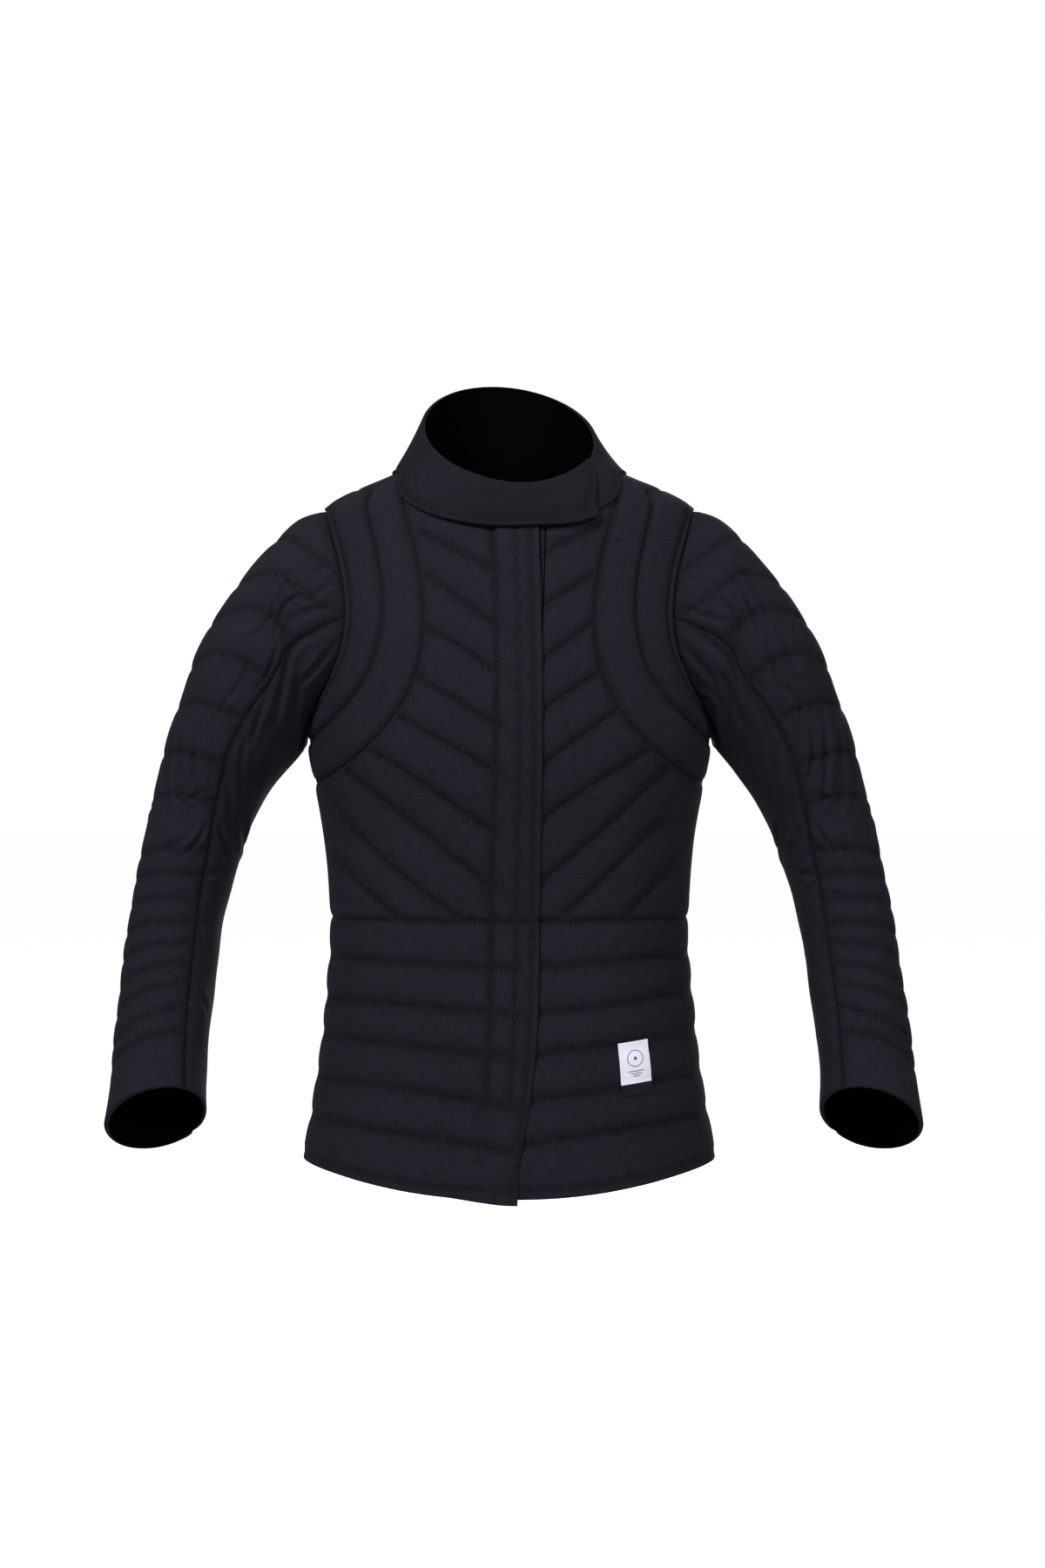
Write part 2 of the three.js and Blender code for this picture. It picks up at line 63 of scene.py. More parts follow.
def hermite(knots, values, at):
    # a smooth curve through rows of values, read at each place in at
    last = len(knots) - 1
    before = np.maximum(np.arange(last + 1) - 1, 0)
    after = np.minimum(np.arange(last + 1) + 1, last)
    run = knots[after] - knots[before]
    i = np.clip(np.searchsorted(knots, at) - 1, 0, last - 1)
    span = knots[i + 1] - knots[i]
    t = np.clip((at - knots[i]) / span, 0, 1)
    if values.ndim == 1:
        slopes = (values[after] - values[before]) / run
        a, b, slopeA, slopeB = values[i], values[i + 1], slopes[i], slopes[i + 1]
    else:
        # values holds one curve of points for each place
        slopes = (values[:, after] - values[:, before]) / run[None, :, None]
        pick = np.arange(len(values))
        a, b = values[pick, i], values[pick, i + 1]
        slopeA, slopeB = slopes[pick, i], slopes[pick, i + 1]
        span, t = span[:, None], t[:, None]
    t2, t3 = t * t, t * t * t
    return (
        a * (2 * t3 - 3 * t2 + 1)
        + slopeA * span * (t3 - 2 * t2 + t)
        + b * (3 * t2 - 2 * t3)
        + slopeB * span * (t3 - t2)
    )


cloth = {
    "wall": 3.0,
    "lapRise": 3.6,  # the right front lies this far over the left front
    "gridStep": 1.8,  # size of a mesh square on the front
    "backStep": 2.5,
    "innerEvery": 4,  # the inside has one mesh line for so many outside
    "edgeLines": [0.0, 0.45, 1.0, 1.8],  # extra mesh lines beside an edge
    "thinnest": 0.8,  # no groove leaves less cloth than this
}
# How the outside gives way: the reach of puckers beside a seam, the height left in flat
# stretches, the unevenness left in a seam, and the rise beside a crease.
relief = dict(puckerFar=7, puckerNear=1.6, flatShare=0.3, seamShare=0.35, besideAt=1.9, besideShare=0.6)

# Cross sections of the body, outside of the cloth, from hem to neck.
bodySections = namedColumns("z halfWidth front back", [
    (-670, 197, 124, 125), (-634, 192.5, 122, 124), (-595, 185.5, 119, 121),
    (-535, 176, 114, 115), (-480, 170.5, 109, 108), (-415, 167, 104, 100),
    (-345, 172, 111, 102), (-290, 181, 120, 108), (-250, 188, 124, 113),
    (-200, 186, 123, 117), (-140, 184, 117, 119), (-90, 183, 107, 116),
    (-55, 181, 96, 110), (-34, 175, 87, 103), (-24, 162, 81, 98),
    (-14, 141, 75, 93), (-4, 117, 69, 88), (6, 99, 62, 83), (20, 86, 54, 75),
])
bodyPower = 2 / 2.3

# Sleeve sections: outer and inner edge from the front, the middle's place and half depth,
# the tip of the section at the front, and where the seam crosses it.
sleeveSections = namedColumns("outX outZ inX inZ y halfDepth tip seam", [
    (200, -43, 191.5, -247.5, 0, 80, 0, 98), (233.5, -77, 194, -256, 0, 81, 0, 101),
    (265, -116.5, 201, -264.5, 0, 78, 0, 103), (289.5, -157.5, 213, -278, 1, 73, 0, 103),
    (306.5, -202.5, 229, -299, 3, 67, 0, 104), (320, -242, 239.5, -320, 4, 61, 0, 109),
    (331, -283, 249.5, -344, 5, 56, 0, 114), (340.5, -325.5, 257.5, -370.5, 4, 53, 1, 119),
    (348.5, -364, 264.5, -395, 1, 51, 5, 123), (354.5, -403, 269.5, -421, -6, 49, 10, 127),
    (358.5, -441, 272, -447, -16, 48, 16, 128), (361, -475, 274.5, -473, -28, 47.5, 22, 130),
    (363, -510, 276.5, -501, -42, 47.5, 27, 131), (364.5, -544, 277.5, -531, -56, 48, 32, 132),
    (365.5, -576, 277, -560, -68, 49, 36, 132), (367.5, -604, 275, -583, -78, 50, 39, 132),
])
leftCuffShift = 9

# Ovals round the armhole on the body: heights in mm, reach forward in degrees of turn.
armhole = dict(top=-32, foot=-240, reach=38.5, power=1.15, swing=0.5)
armholeBack = dict(top=-32, foot=-240, reach=33, power=0.9, swing=0.3)
bandSeam = dict(top=-16, foot=-250, reach=54, power=0.62, swing=0.33)
bandEdge = dict(top=0, foot=-287, reach=68.2, power=0.5, swing=0.25)

lapEdge = namedColumns("z x", [
    (-670, 7.5), (-622, 10), (-580, 18), (-538, 23.5), (-483, 26.5),
    (-370, 28), (-259, 30), (-153, 29.5), (-40, 26.5),
])
leftEdgeOffset = namedColumns("z x", [
    (-670, -6), (-560, -5), (-230, -4), (-150, 0), (-110, 3.5), (-70, 6), (-40, 7),
])
lapRamp = dict(start=-22, end=-3)
waistZ = -413
girthZ = -300.0
freeEdge = dict(top=-40, foot=-662, round=1.5)
panelWidths = dict(frontSkirt=250.0, backSkirt=390.0)
hem = dict(side=-639, frontDrop=22, backDrop=8, tipDrop=5.0, stitch=8.5)
neckLine = dict(front=-53, back=16, power=4.4, tuck=2.2, tuckFront=2.8)
collarRim = dict(halfWidth=78, halfDepth=70.5, y=-12.5, z=38, rise=55, roll=9)
collarTurn = dict(start=20, end=404, endSlant=22, liftStart=305, liftEnd=345)
collarGap = 1.2
collarLift = cloth["lapRise"] + 0.2
zipPlace = dict(x=4, top=-52, foot=-568, thickness=1.6, sink=0.3, sideGap=0.8)
labelPlace = dict(startTurn=31, endTurn=43, top=-522, foot=-559.5, width=28.5, thickness=0.7,
                  tilt=3.2, lift=0.35)
tabPlace = dict(gap=0.2, foot=-569.9, corner=5, cornerShare=0.2)


def signedPower(value, power):
    return np.sign(value) * np.abs(value) ** power


def tableAt(table, column, z):
    return hermite(table["z"], table[column], np.asarray(z, float))


# turn goes round the body in degrees: 0 is the middle of the front, 90 the wearer's left.
def bodySurface(turn, z):
    turn, z = np.broadcast_arrays(np.asarray(turn, float), np.asarray(z, float))
    s, c = np.sin(np.radians(turn)), np.cos(np.radians(turn))
    front, back = tableAt(bodySections, "front", z), tableAt(bodySections, "back", z)
    depth = np.where(c > 0, front, back)
    x = tableAt(bodySections, "halfWidth", z) * signedPower(s, bodyPower)
    return np.stack([x, -depth * signedPower(c, bodyPower), z], -1)


def bodyNormal(turn, z):
    around = bodySurface(turn + 1, z) - bodySurface(turn - 1, z)
    up = bodySurface(turn, z + 1) - bodySurface(turn, z - 1)
    return unit(np.cross(around, up))


def bodyPoint(turn, z, out):
    return bodySurface(turn, z) + bodyNormal(turn, z) * np.asarray(out)[..., None]


def turnAtX(x, z):
    share = np.minimum(np.abs(x) / tableAt(bodySections, "halfWidth", z), 1)
    return np.sign(x) * np.degrees(np.arcsin(share ** (1 / bodyPower)))


def ovalAt(oval, phi, side=-1):
    height = np.cos(np.radians(phi))
    power = oval["power"] - oval["swing"] * height
    reach = oval["reach"] * np.abs(np.sin(np.radians(phi))) ** power
    middle, half = (oval["top"] + oval["foot"]) / 2, (oval["top"] - oval["foot"]) / 2
    return np.stack([90 + side * reach, middle + half * height], -1)


def neckZ(turn):
    c = np.cos(np.radians(turn))
    front = neckLine["front"] * np.abs(c) ** neckLine["power"]
    return np.where(c > 0, front, neckLine["back"] * c * c)


def neckSeamZ(turn):
    return neckZ(turn) + neckLine["tuck"] + neckLine["tuckFront"] * np.cos(np.radians(turn)) ** 2


def hemZ(turn):
    c = np.cos(np.radians(turn))
    return hem["side"] - np.where(c > 0, hem["frontDrop"] * c**3, hem["backDrop"] * c * c)


def halved(low, high, isLow):
    for _ in range(30):
        middle = (low + high) / 2
        below = isLow(middle)
        low, high = np.where(below, middle, low), np.where(below, high, middle)
    return low


def aboveNeck(phi):
    place = ovalAt(bandEdge, phi)
    return place[..., 1] > neckSeamZ(place[..., 0])


crossing = float(halved(5.0, 90.0, aboveNeck))


def lapX(z):
    return tableAt(lapEdge, "x", z)


def leftEdgeX(z):
    return lapX(z) + tableAt(leftEdgeOffset, "x", z)


def rampX(z):
    return np.full(np.shape(z), float(lapRamp["start"]))


def lapLift(turn, z):
    x = bodySurface(turn, z)[..., 0]
    return cloth["lapRise"] * ease(x, lapRamp["start"], lapRamp["end"])


def edgeMeets(edgeX, lineZ):
    z = float(lineZ(0.0))
    for _ in range(20):
        z = float(lineZ(turnAtX(edgeX(z), z)))
    return float(turnAtX(edgeX(z), z)), z


# Paths and grids hold places on the body: a turn and a height each.
def alongPath(path):
    steps = np.linalg.norm(np.diff(bodySurface(path[:, 0], path[:, 1]), axis=0), axis=1)
    return np.concatenate([[0], np.cumsum(steps)])


def resample(path, shares):
    length = alongPath(path)
    at = np.asarray(shares) * length[-1]
    return np.stack([np.interp(at, length, path[:, k]) for k in (0, 1)], -1)


def spacing(length, step, fineStart=True, fineEnd=True):
    lines = cloth["edgeLines"]
    first, last = (lines if fineStart else [0.0]), (lines if fineEnd else [0.0])
    low, high = first[-1], length - last[-1]
    count = max(int(round((high - low) / step)), 4)
    middle = np.linspace(low, high, count + 1)
    ends = [length - v for v in last[:-1]][::-1]
    return np.concatenate([first[:-1], middle, ends]) / length


def patch(top, foot, left, right, us, vs):
    top, foot = resample(top, us), resample(foot, us)
    left, right = resample(left, vs), resample(right, vs)
    u, v = us[None, :, None], vs[:, None, None]
    across = blend(left[:, None], right[:, None], u)
    down = blend(top[None], foot[None], v)
    corners = blend(blend(top[0], top[-1], u), blend(foot[0], foot[-1], u), v)
    return across + down - corners


def pathOf(turns, zs):
    return np.stack(np.broadcast_arrays(np.asarray(turns, float), np.asarray(zs, float)), -1)


def smoothCurve(points, step=4.0):
    # a smooth line through a few given points
    points = np.array(points, float)
    knots = np.concatenate([[0], np.cumsum(np.linalg.norm(np.diff(points, axis=0), axis=1))])
    at = np.linspace(0, knots[-1], max(int(knots[-1] / step), 2) + 1)
    return np.stack([hermite(knots, points[:, k], at) for k in range(points.shape[1])], -1)


def onFront(points, lifted=False):
    # a line given by x and z on the front, as points in space
    line = smoothCurve(points)
    turn = turnAtX(line[:, 0], line[:, 1])
    out = lapLift(turn, line[:, 1]) if lifted else 0 * turn
    return bodyPoint(turn, line[:, 1], out)


def onBody(path, lifted=False):
    out = lapLift(path[:, 0], path[:, 1]) if lifted else 0 * path[:, 0]
    return bodyPoint(path[:, 0], path[:, 1], out)


def nearestOn(points, path, reach=42.0):
    # how far points lie from a path, and how far along the path that is
    distance, along = np.full(len(points), 1e3), np.zeros(len(points))
    inBox = (points > path.min(0) - reach) & (points < path.max(0) + reach)
    near = np.flatnonzero(inBox.all(axis=1))
    if not len(near):
        return distance, along
    p = points[near]
    best, place, start = np.full(len(near), 1e9), np.zeros(len(near)), 0.0
    for a, b in zip(path[:-1], path[1:]):
        ab = b - a
        length = max(float(np.linalg.norm(ab)), 1e-6)
        t = np.clip((p - a) @ ab / length**2, 0, 1)
        gap = ((p - a - t[:, None] * ab) ** 2).sum(axis=1)
        closer = gap < best
        best[closer] = gap[closer]
        place[closer] = start + t[closer] * length
        start += length
    distance[near], along[near] = np.sqrt(best), place / max(start, 1e-6)
    return distance, along


def ripple(s, seed):
    # uneven waves along a line
    rng = np.random.default_rng(seed)
    total = 0 * s
    for length, size in ((9.0, 0.5), (14.0, 0.8), (23.0, 0.7), (41.0, 0.6)):
        total = total + size * np.sin(2 * np.pi * s / length + rng.uniform(0, 7))
    return total / 2


def undulation(points, seed, size):
    # the slow unevenness of cloth over padding
    rng = np.random.default_rng(seed)
    total = np.zeros(len(points))
    for _ in range(6):
        way = unit(rng.normal(size=3))
        length = rng.uniform(38, 110)
        total += np.sin(2 * np.pi * (points @ way) / length + rng.uniform(0, 7))
    return size * total / 3


def groove(path, depth=1.2, width=5.0, pucker=0.3, strength=1.0):
    return dict(path=path, depth=depth, width=width, pucker=pucker, strength=strength)


def crease(path, depth, width):
    return dict(path=path, depth=depth, width=width)


def clothHeight(points, look):
    # height of the outside over the plain form, from seams, quilting, creases and edges
    crown, low, pucker = np.ones(len(points)), np.zeros(len(points)), np.zeros(len(points))
    for k, g in enumerate(look["grooves"]):
        d, along = nearestOn(points, g["path"])
        length = np.linalg.norm(np.diff(g["path"], axis=0), axis=1).sum()
        fall = g["strength"] * np.exp(-(np.hypot(d, 1.0) - 1.0) / g["width"])
        crown *= 1 - fall
        low = np.maximum(low, g["depth"] * fall)
        shape = np.exp(-d / relief["puckerFar"]) * (1 - np.exp(-d / relief["puckerNear"]))
        pucker += g["pucker"] * shape * ripple(along * length, look["seed"] + 7 * k)
    flat = np.ones(len(points))
    for path, width in look.get("flats", []):
        d, _ = nearestOn(points, path)
        flat *= blend(relief["flatShare"], 1, ease(d, width - 1.5, width + 4))
    height = look["rise"] * crown * flat - low + pucker
    uneven = undulation(points, look["seed"], look["uneven"])
    height += uneven * blend(relief["seamShare"], 1, crown)
    for c in look.get("creases", []):
        d, along = nearestOn(points, c["path"])
        taper = np.sin(np.pi * np.clip(along, 0, 1)) ** 0.8
        away = d / c["width"]
        beside = relief["besideShare"] * np.exp(-((away - relief["besideAt"]) ** 2))
        height -= c["depth"] * taper * (np.exp(-(away**2)) - beside)
    for path, radius in look.get("rounded", []):
        d, _ = nearestOn(points, path)
        inside = np.clip(radius - d, 0, radius)
        height -= radius - np.sqrt(radius**2 - inside**2)
    return height, crown


def innerLines(count):
    lines = list(range(0, count - 1, cloth["innerEvery"]))
    if count - 1 - lines[-1] < 2 and len(lines) > 2:
        lines.pop()
    return lines + [count - 1]


def linked(name, data):
    thing = bpy.data.objects.new(name, data)
    bpy.context.collection.objects.link(thing)
    return thing


def squares(grid):
    corners = [grid[:-1, :-1], grid[1:, :-1], grid[1:, 1:], grid[:-1, 1:]]
    return np.stack([c.ravel() for c in corners], -1)


def rimFaces(index, innerAt, rowLines, columnLines):
    # faces that close the wall at its top, end, foot and start
    borders = (
        (index[0], innerAt[0], columnLines, 1), (index[:, -1], innerAt[:, -1], rowLines, 1),
        (index[-1], innerAt[-1], columnLines, -1), (index[:, 0], innerAt[:, 0], rowLines, -1),
    )
    rims = []
    for outerLine, innerLine, lines, way in borders:
        for k in range(len(lines) - 1):
            run = outerLine[lines[k]:lines[k + 1] + 1]
            rims.append([*run, innerLine[k + 1], innerLine[k]][::way])
    return rims


pieces = {}  # the outside of each piece of cloth, for its stitches


def clothPiece(name, base, normal, look, uv, finish, thickness=None, rimShadeShare=0):
    # a closed wall of cloth: fine outside, plain inside, and rims round the four sides
    thickness = thickness or cloth["wall"]
    rows, columns = base.shape[:2]
    flatBase, flatNormal = base.reshape(-1, 3), normal.reshape(-1, 3)
    height, crown = clothHeight(flatBase, look)
    height = np.maximum(height, cloth["thinnest"] - thickness)
    outer = flatBase + flatNormal * height[:, None]
    inner = flatBase - flatNormal * thickness
    rowLines, columnLines = innerLines(rows), innerLines(columns)
    picked = np.array([r * columns + c for r in rowLines for c in columnLines])
    points = np.concatenate([outer, inner[picked]])
    innerAt = rows * columns + np.arange(len(picked)).reshape(len(rowLines), len(columnLines))
    index = np.arange(rows * columns).reshape(rows, columns)
    outside, inside = squares(index), squares(innerAt)[:, ::-1]
    rims = rimFaces(index, innerAt, rowLines, columnLines)
    middle = rows // 2, columns // 2
    a, b, c = (outer[index[middle[0] + i, middle[1] + j]] for i, j in ((0, 0), (1, 0), (1, 1)))
    turned = np.dot(np.cross(b - a, c - a), flatNormal[index[middle]]) < 0
    faces = [[int(v) for v in face] for face in (*outside, *inside, *rims)]
    if turned:
        faces = [f[::-1] for f in faces]
    mesh = bpy.data.meshes.new(name + "_cloth")
    mesh.from_pydata((points * mm).tolist(), [], faces)
    # the second finish is the near-black inside cloth: painted shade of the hollow inside
    for material in (finishes[finish], finishes["inside"]):
        mesh.materials.append(material)
    slots = np.zeros(len(faces), np.int32)
    slots[len(outside):len(outside) + len(inside)] = 1
    first = len(outside) + len(inside)
    # the middle of the top rim takes the inside cloth: painted shade
    spare = round((1 - rimShadeShare) / 2 * (len(columnLines) - 1))
    slots[first + spare:first + len(columnLines) - 1 - spare] = 1 if rimShadeShare else 0
    mesh.polygons.foreach_set("material_index", slots)
    spread = np.concatenate([uv.reshape(-1, 2), uv.reshape(-1, 2)[picked]]) * mm
    corner = np.zeros(len(mesh.loops), np.int32)
    mesh.loops.foreach_get("vertex_index", corner)
    mesh.uv_layers.new(name="grain").data.foreach_set("uv", spread[corner].ravel().astype(np.float32))
    # the crown of the puffs, kept for the cloth colour: where it is low, in seams and quilting valleys, the
    # colour is darkened as painted shade
    crownShadeLayer = mesh.attributes.new("crown", "FLOAT", "POINT")
    full = np.concatenate([crown, np.full(len(picked), 0.5)])
    crownShadeLayer.data.foreach_set("value", full.astype(np.float32))
    mesh.set_sharp_from_angle(angle=math.radians(62))
    mesh.update()
    piece = linked(name + "_cloth", mesh)
    pieces[name] = dict(points=outer, faces=outside, normal=flatNormal)
    return piece


def settle(piece, nodes, base):
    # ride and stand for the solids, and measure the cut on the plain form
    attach(piece, "root")
    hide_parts(*nodes)
    across = np.linalg.norm(np.diff(base, axis=1), axis=-1).sum(axis=1).max()
    down = np.linalg.norm(np.diff(base, axis=0), axis=-1).sum(axis=0).max()
    edgeA, edgeB = base[1:, :-1] - base[:-1, :-1], base[:-1, 1:] - base[:-1, :-1]
    area = np.linalg.norm(np.cross(edgeA, edgeB), axis=-1).sum()
    area = min(area, 0.999 * across * down)


# Materials. A group makes the threads and the slow colour change of every cloth.
def newGroup(name, inputs, outputs):
    group = bpy.data.node_groups.new(name, "ShaderNodeTree")
    for label, kind, value in inputs:
        socket = group.interface.new_socket(name=label, in_out="INPUT", socket_type=kind)
        if value is not None:
            socket.default_value = value
    for label, kind in outputs:
        group.interface.new_socket(name=label, in_out="OUTPUT", socket_type=kind)
    start = group.nodes.new("NodeGroupInput")
    end = group.nodes.new("NodeGroupOutput")
    return group, start, end


def mathNode(tree, operation, *values):
    node = tree.nodes.new("ShaderNodeMath")
    node.operation = operation
    for socket, value in zip(node.inputs, values):
        if isinstance(value, (int, float)):
            socket.default_value = value
        else:
            tree.links.new(value, socket)
    return node.outputs[0]


def noiseNode(tree, vector, scale, detail=2.0):
    node = tree.nodes.new("ShaderNodeTexNoise")
    node.inputs["Scale"].default_value = scale
    node.inputs["Detail"].default_value = detail
    tree.links.new(vector, node.inputs["Vector"])
    return node.outputs["Fac"]


def threadGroup():
    group, start, end = newGroup(
        "threads",
        [("Place", "NodeSocketVector", None), ("Pitch", "NodeSocketFloat", 0.0006),
         ("Slub", "NodeSocketFloat", 0.5)],
        [("Height", "NodeSocketFloat"), ("Shade", "NodeSocketFloat")],
    )
    links, nodes = group.links, group.nodes
    parts = nodes.new("ShaderNodeSeparateXYZ")
    links.new(start.outputs["Place"], parts.inputs[0])
    wave = []
    for axis in ("X", "Y"):
        turns = mathNode(group, "DIVIDE", parts.outputs[axis], start.outputs["Pitch"])
        wave.append(mathNode(group, "SINE", mathNode(group, "MULTIPLY", turns, math.pi)))
    weave = mathNode(group, "MULTIPLY", wave[0], wave[1])
    slubs = []
    for stretch in ((1.0, 14.0, 1.0), (14.0, 1.0, 1.0)):
        mapping = nodes.new("ShaderNodeMapping")
        mapping.inputs["Scale"].default_value = stretch
        links.new(start.outputs["Place"], mapping.inputs["Vector"])
        slubs.append(noiseNode(group, mapping.outputs[0], 95.0))
    slub = mathNode(group, "MULTIPLY", mathNode(group, "ADD", *slubs), 0.5)
    mixed = mathNode(group, "MULTIPLY", slub, start.outputs["Slub"])
    links.new(mathNode(group, "ADD", mathNode(group, "MULTIPLY", weave, 0.5), mixed), end.inputs["Height"])
    links.new(slub, end.inputs["Shade"])
    return group


threads = threadGroup()


def newMaterial(name):
    material = bpy.data.materials.new(name)
    material.use_nodes = True
    return material, material.node_tree, material.node_tree.nodes["Principled BSDF"]


def weaveNode(tree, pitch, slub=0.5):
    # the threads, laid along the cloth
    grain = tree.nodes.new("ShaderNodeUVMap")
    grain.uv_map = "grain"
    weave = tree.nodes.new("ShaderNodeGroup")
    weave.node_tree = threads
    weave.inputs["Pitch"].default_value = pitch
    weave.inputs["Slub"].default_value = slub
    tree.links.new(grain.outputs[0], weave.inputs["Place"])
    return weave, grain


def colorBetween(tree, shader, tone, dark, light):
    ramp = tree.nodes.new("ShaderNodeValToRGB")
    ramp.color_ramp.elements[0].color = (*dark, 1)
    ramp.color_ramp.elements[1].color = (*light, 1)
    tree.links.new(tone, ramp.inputs["Fac"])
    tree.links.new(ramp.outputs["Color"], shader.inputs["Base Color"])


def bumpFrom(tree, shader, weave, strength, distance):
    bump = tree.nodes.new("ShaderNodeBump")
    bump.inputs["Strength"].default_value = strength
    bump.inputs["Distance"].default_value = distance
    tree.links.new(weave.outputs["Height"], bump.inputs["Height"])
    tree.links.new(bump.outputs[0], shader.inputs["Normal"])


def clothMaterial(name, look):
    material, tree, shader = newMaterial(name)
    weave, _ = weaveNode(tree, look["pitch"], look["slub"])
    place = tree.nodes.new("ShaderNodeTexCoord")
    patchy = noiseNode(tree, place.outputs["Object"], 9.0, 3.0)
    fleck = noiseNode(tree, place.outputs["Object"], 900.0, 1.0)
    crownShadeNode = tree.nodes.new("ShaderNodeAttribute")
    crownShadeNode.attribute_name = "crown"
    # darker where the crown is low: painted shade in seams and quilting valleys
    tone = mathNode(tree, "MULTIPLY_ADD", crownShadeNode.outputs["Fac"], look["crownShadeTone"], 0.5 - look["crownShadeTone"])
    shares = ((weave.outputs["Shade"], "threadTone"), (patchy, "patchTone"), (fleck, "fleckTone"))
    for value, share in shares:
        varied = mathNode(tree, "MULTIPLY_ADD", value, look[share], -0.5 * look[share])
        tone = mathNode(tree, "ADD", tone, varied)
    colorBetween(tree, shader, tone, look["dark"], look["light"])
    bumpFrom(tree, shader, weave, look["bump"], 0.0002)
    rough = mathNode(tree, "MULTIPLY_ADD", weave.outputs["Shade"], 0.12, look["rough"])
    tree.links.new(rough, shader.inputs["Roughness"])
    shader.inputs["Specular IOR Level"].default_value = look["specular"]
    shader.inputs["Sheen Weight"].default_value = look["sheen"]
    shader.inputs["Sheen Roughness"].default_value = 0.45
    return material


def plainMaterial(name, color, rough, specular, noiseScale, noiseShare):
    material, tree, shader = newMaterial(name)
    place = tree.nodes.new("ShaderNodeTexCoord")
    noise = noiseNode(tree, place.outputs["Object"], noiseScale)
    dark = [c * (1 - noiseShare) for c in color]
    light = [c * (1 + noiseShare) for c in color]
    colorBetween(tree, shader, noise, dark, light)
    tree.links.new(mathNode(tree, "MULTIPLY_ADD", noise, 0.15, rough), shader.inputs["Roughness"])
    shader.inputs["Specular IOR Level"].default_value = specular
    return material


# The crown share sets how much painted shade darkens the seams and quilting valleys.
quiltedLook = dict(dark=(0.0020, 0.0015, 0.0028), light=(0.0190, 0.0158, 0.0272), pitch=0.00062,
                   slub=0.6, threadTone=1.7, patchTone=0.22, fleckTone=0.6, crownShadeTone=0.30,
                   bump=0.8, rough=0.80, specular=0.12, sheen=0.008)
collarLook = dict(quiltedLook, dark=(0.0018, 0.0016, 0.0026), light=(0.0138, 0.0122, 0.0208))
finishes = {
    "quilted": clothMaterial("quiltedCloth", quiltedLook),
    "collar": clothMaterial("collarCloth", collarLook),
    # near-black: painted shade inside the hollow jacket, on every inside face and some rims
    "inside": plainMaterial("insideShadeCloth", (0.0012, 0.0012, 0.0014), 0.9, 0.02, 60, 0.3),
    "thread": plainMaterial("sewingThread", (0.0215, 0.0200, 0.0290), 0.6, 0.2, 900, 0.3),
    # a near-black cord laid in the stitch grooves: painted shade
    "ditch": plainMaterial("seamShadeCord", (0.0035, 0.0030, 0.0048), 0.95, 0.02, 900, 0.3),
    "tape": clothMaterial("zipTape", dict(quiltedLook, dark=(0.002, 0.002, 0.003),
                                          light=(0.006, 0.006, 0.008), pitch=0.0009)),
    "teeth": plainMaterial("zipTeeth", (0.011, 0.011, 0.013), 0.4, 0.3, 400, 0.2),
    "tab": clothMaterial("tabCloth", dict(quiltedLook, dark=(0.004, 0.004, 0.006),
                                          light=(0.016, 0.014, 0.022), pitch=0.0004)),
}
print("materials made")


# Grids of the panels on the body.
def bodyUv(turn, z):
    # along the cloth round the body and up it, near enough for the weave
    turns = np.linspace(-270, 270, 1081)
    steps = np.linalg.norm(np.diff(bodySurface(turns, girthZ), axis=0), axis=1)
    arc = np.concatenate([[0], np.cumsum(steps)])
    arc -= arc[540]
    return np.stack([np.interp(turn, turns, arc), z], -1)


# The share of the neck rim that is seen only from inside, which gets the near-black inside cloth as painted
# shade.
rimShadeShares = {"back_chest": 0.6, "front_right_chest": 0.88, "front_left_chest": 0.88}


def bodyPiece(name, places, look, lifted=False):
    turn, z = places[..., 0], places[..., 1]
    out = lapLift(turn, z) if lifted else 0 * z
    base, normal = bodyPoint(turn, z, out), bodyNormal(turn, z)
    uv = bodyUv(turn, z)
    piece = clothPiece(name, base, normal, look, uv, "quilted", rimShadeShare=rimShadeShares.get(name, 0))
    settle(piece, [name], base)


def withLap(places, topZ, footZ):
    # the lap's columns, from its free edge to the foot of the ramp
    top, foot = places[0, 0, 1], places[-1, 0, 1]
    width = float(lapX(girthZ)) - lapRamp["start"]
    shares = spacing(width, cloth["gridStep"], True, False)[:-1]
    z = places[:, 0, 1]
    x = blend(lapX(z)[:, None], lapRamp["start"], shares[None])
    turn = turnAtX(x, z[:, None])
    down = ((top - z) / (top - foot))[:, None]
    strip = np.stack([turn, blend(topZ(turn), footZ(turn), down)], -1)
    return np.concatenate([strip, places], axis=1)


def chestPlaces(side, edgeX, step, fineLeft):
    oval = ovalAt(bandEdge, np.linspace(crossing, 180, 240))
    seam = pathOf(90, np.linspace(bandEdge["foot"], waistZ, 60)[1:])
    right = np.concatenate([oval, seam]) * [side, 1]
    start = edgeMeets(edgeX, neckSeamZ)
    zs = np.linspace(start[1], waistZ, 120)
    left = pathOf(turnAtX(edgeX(zs), zs), zs)
    turns = np.linspace(start[0], right[0, 0], 60)
    top = pathOf(turns, neckSeamZ(turns))
    foot = pathOf(np.linspace(left[-1, 0], side * 90, 120), waistZ)
    us = spacing(alongPath(foot)[-1], step * 1.12, fineLeft, True)
    vs = spacing(alongPath(right)[-1], step, True, True)
    return patch(top, foot, left, right, us, vs)


def frontSkirtPlaces(side, edgeX, step, fineLeft):
    corner = edgeMeets(edgeX, hemZ)
    vs = spacing(waistZ - hem["side"], step)
    us = spacing(panelWidths["frontSkirt"], step, fineLeft, True)
    edgeZ = blend(waistZ, corner[1], vs)
    start = turnAtX(edgeX(edgeZ), edgeZ)
    turn = blend(start[:, None], side * 90.0, us[None])
    return np.stack([turn, blend(waistZ, hemZ(turn), vs[:, None])], -1)


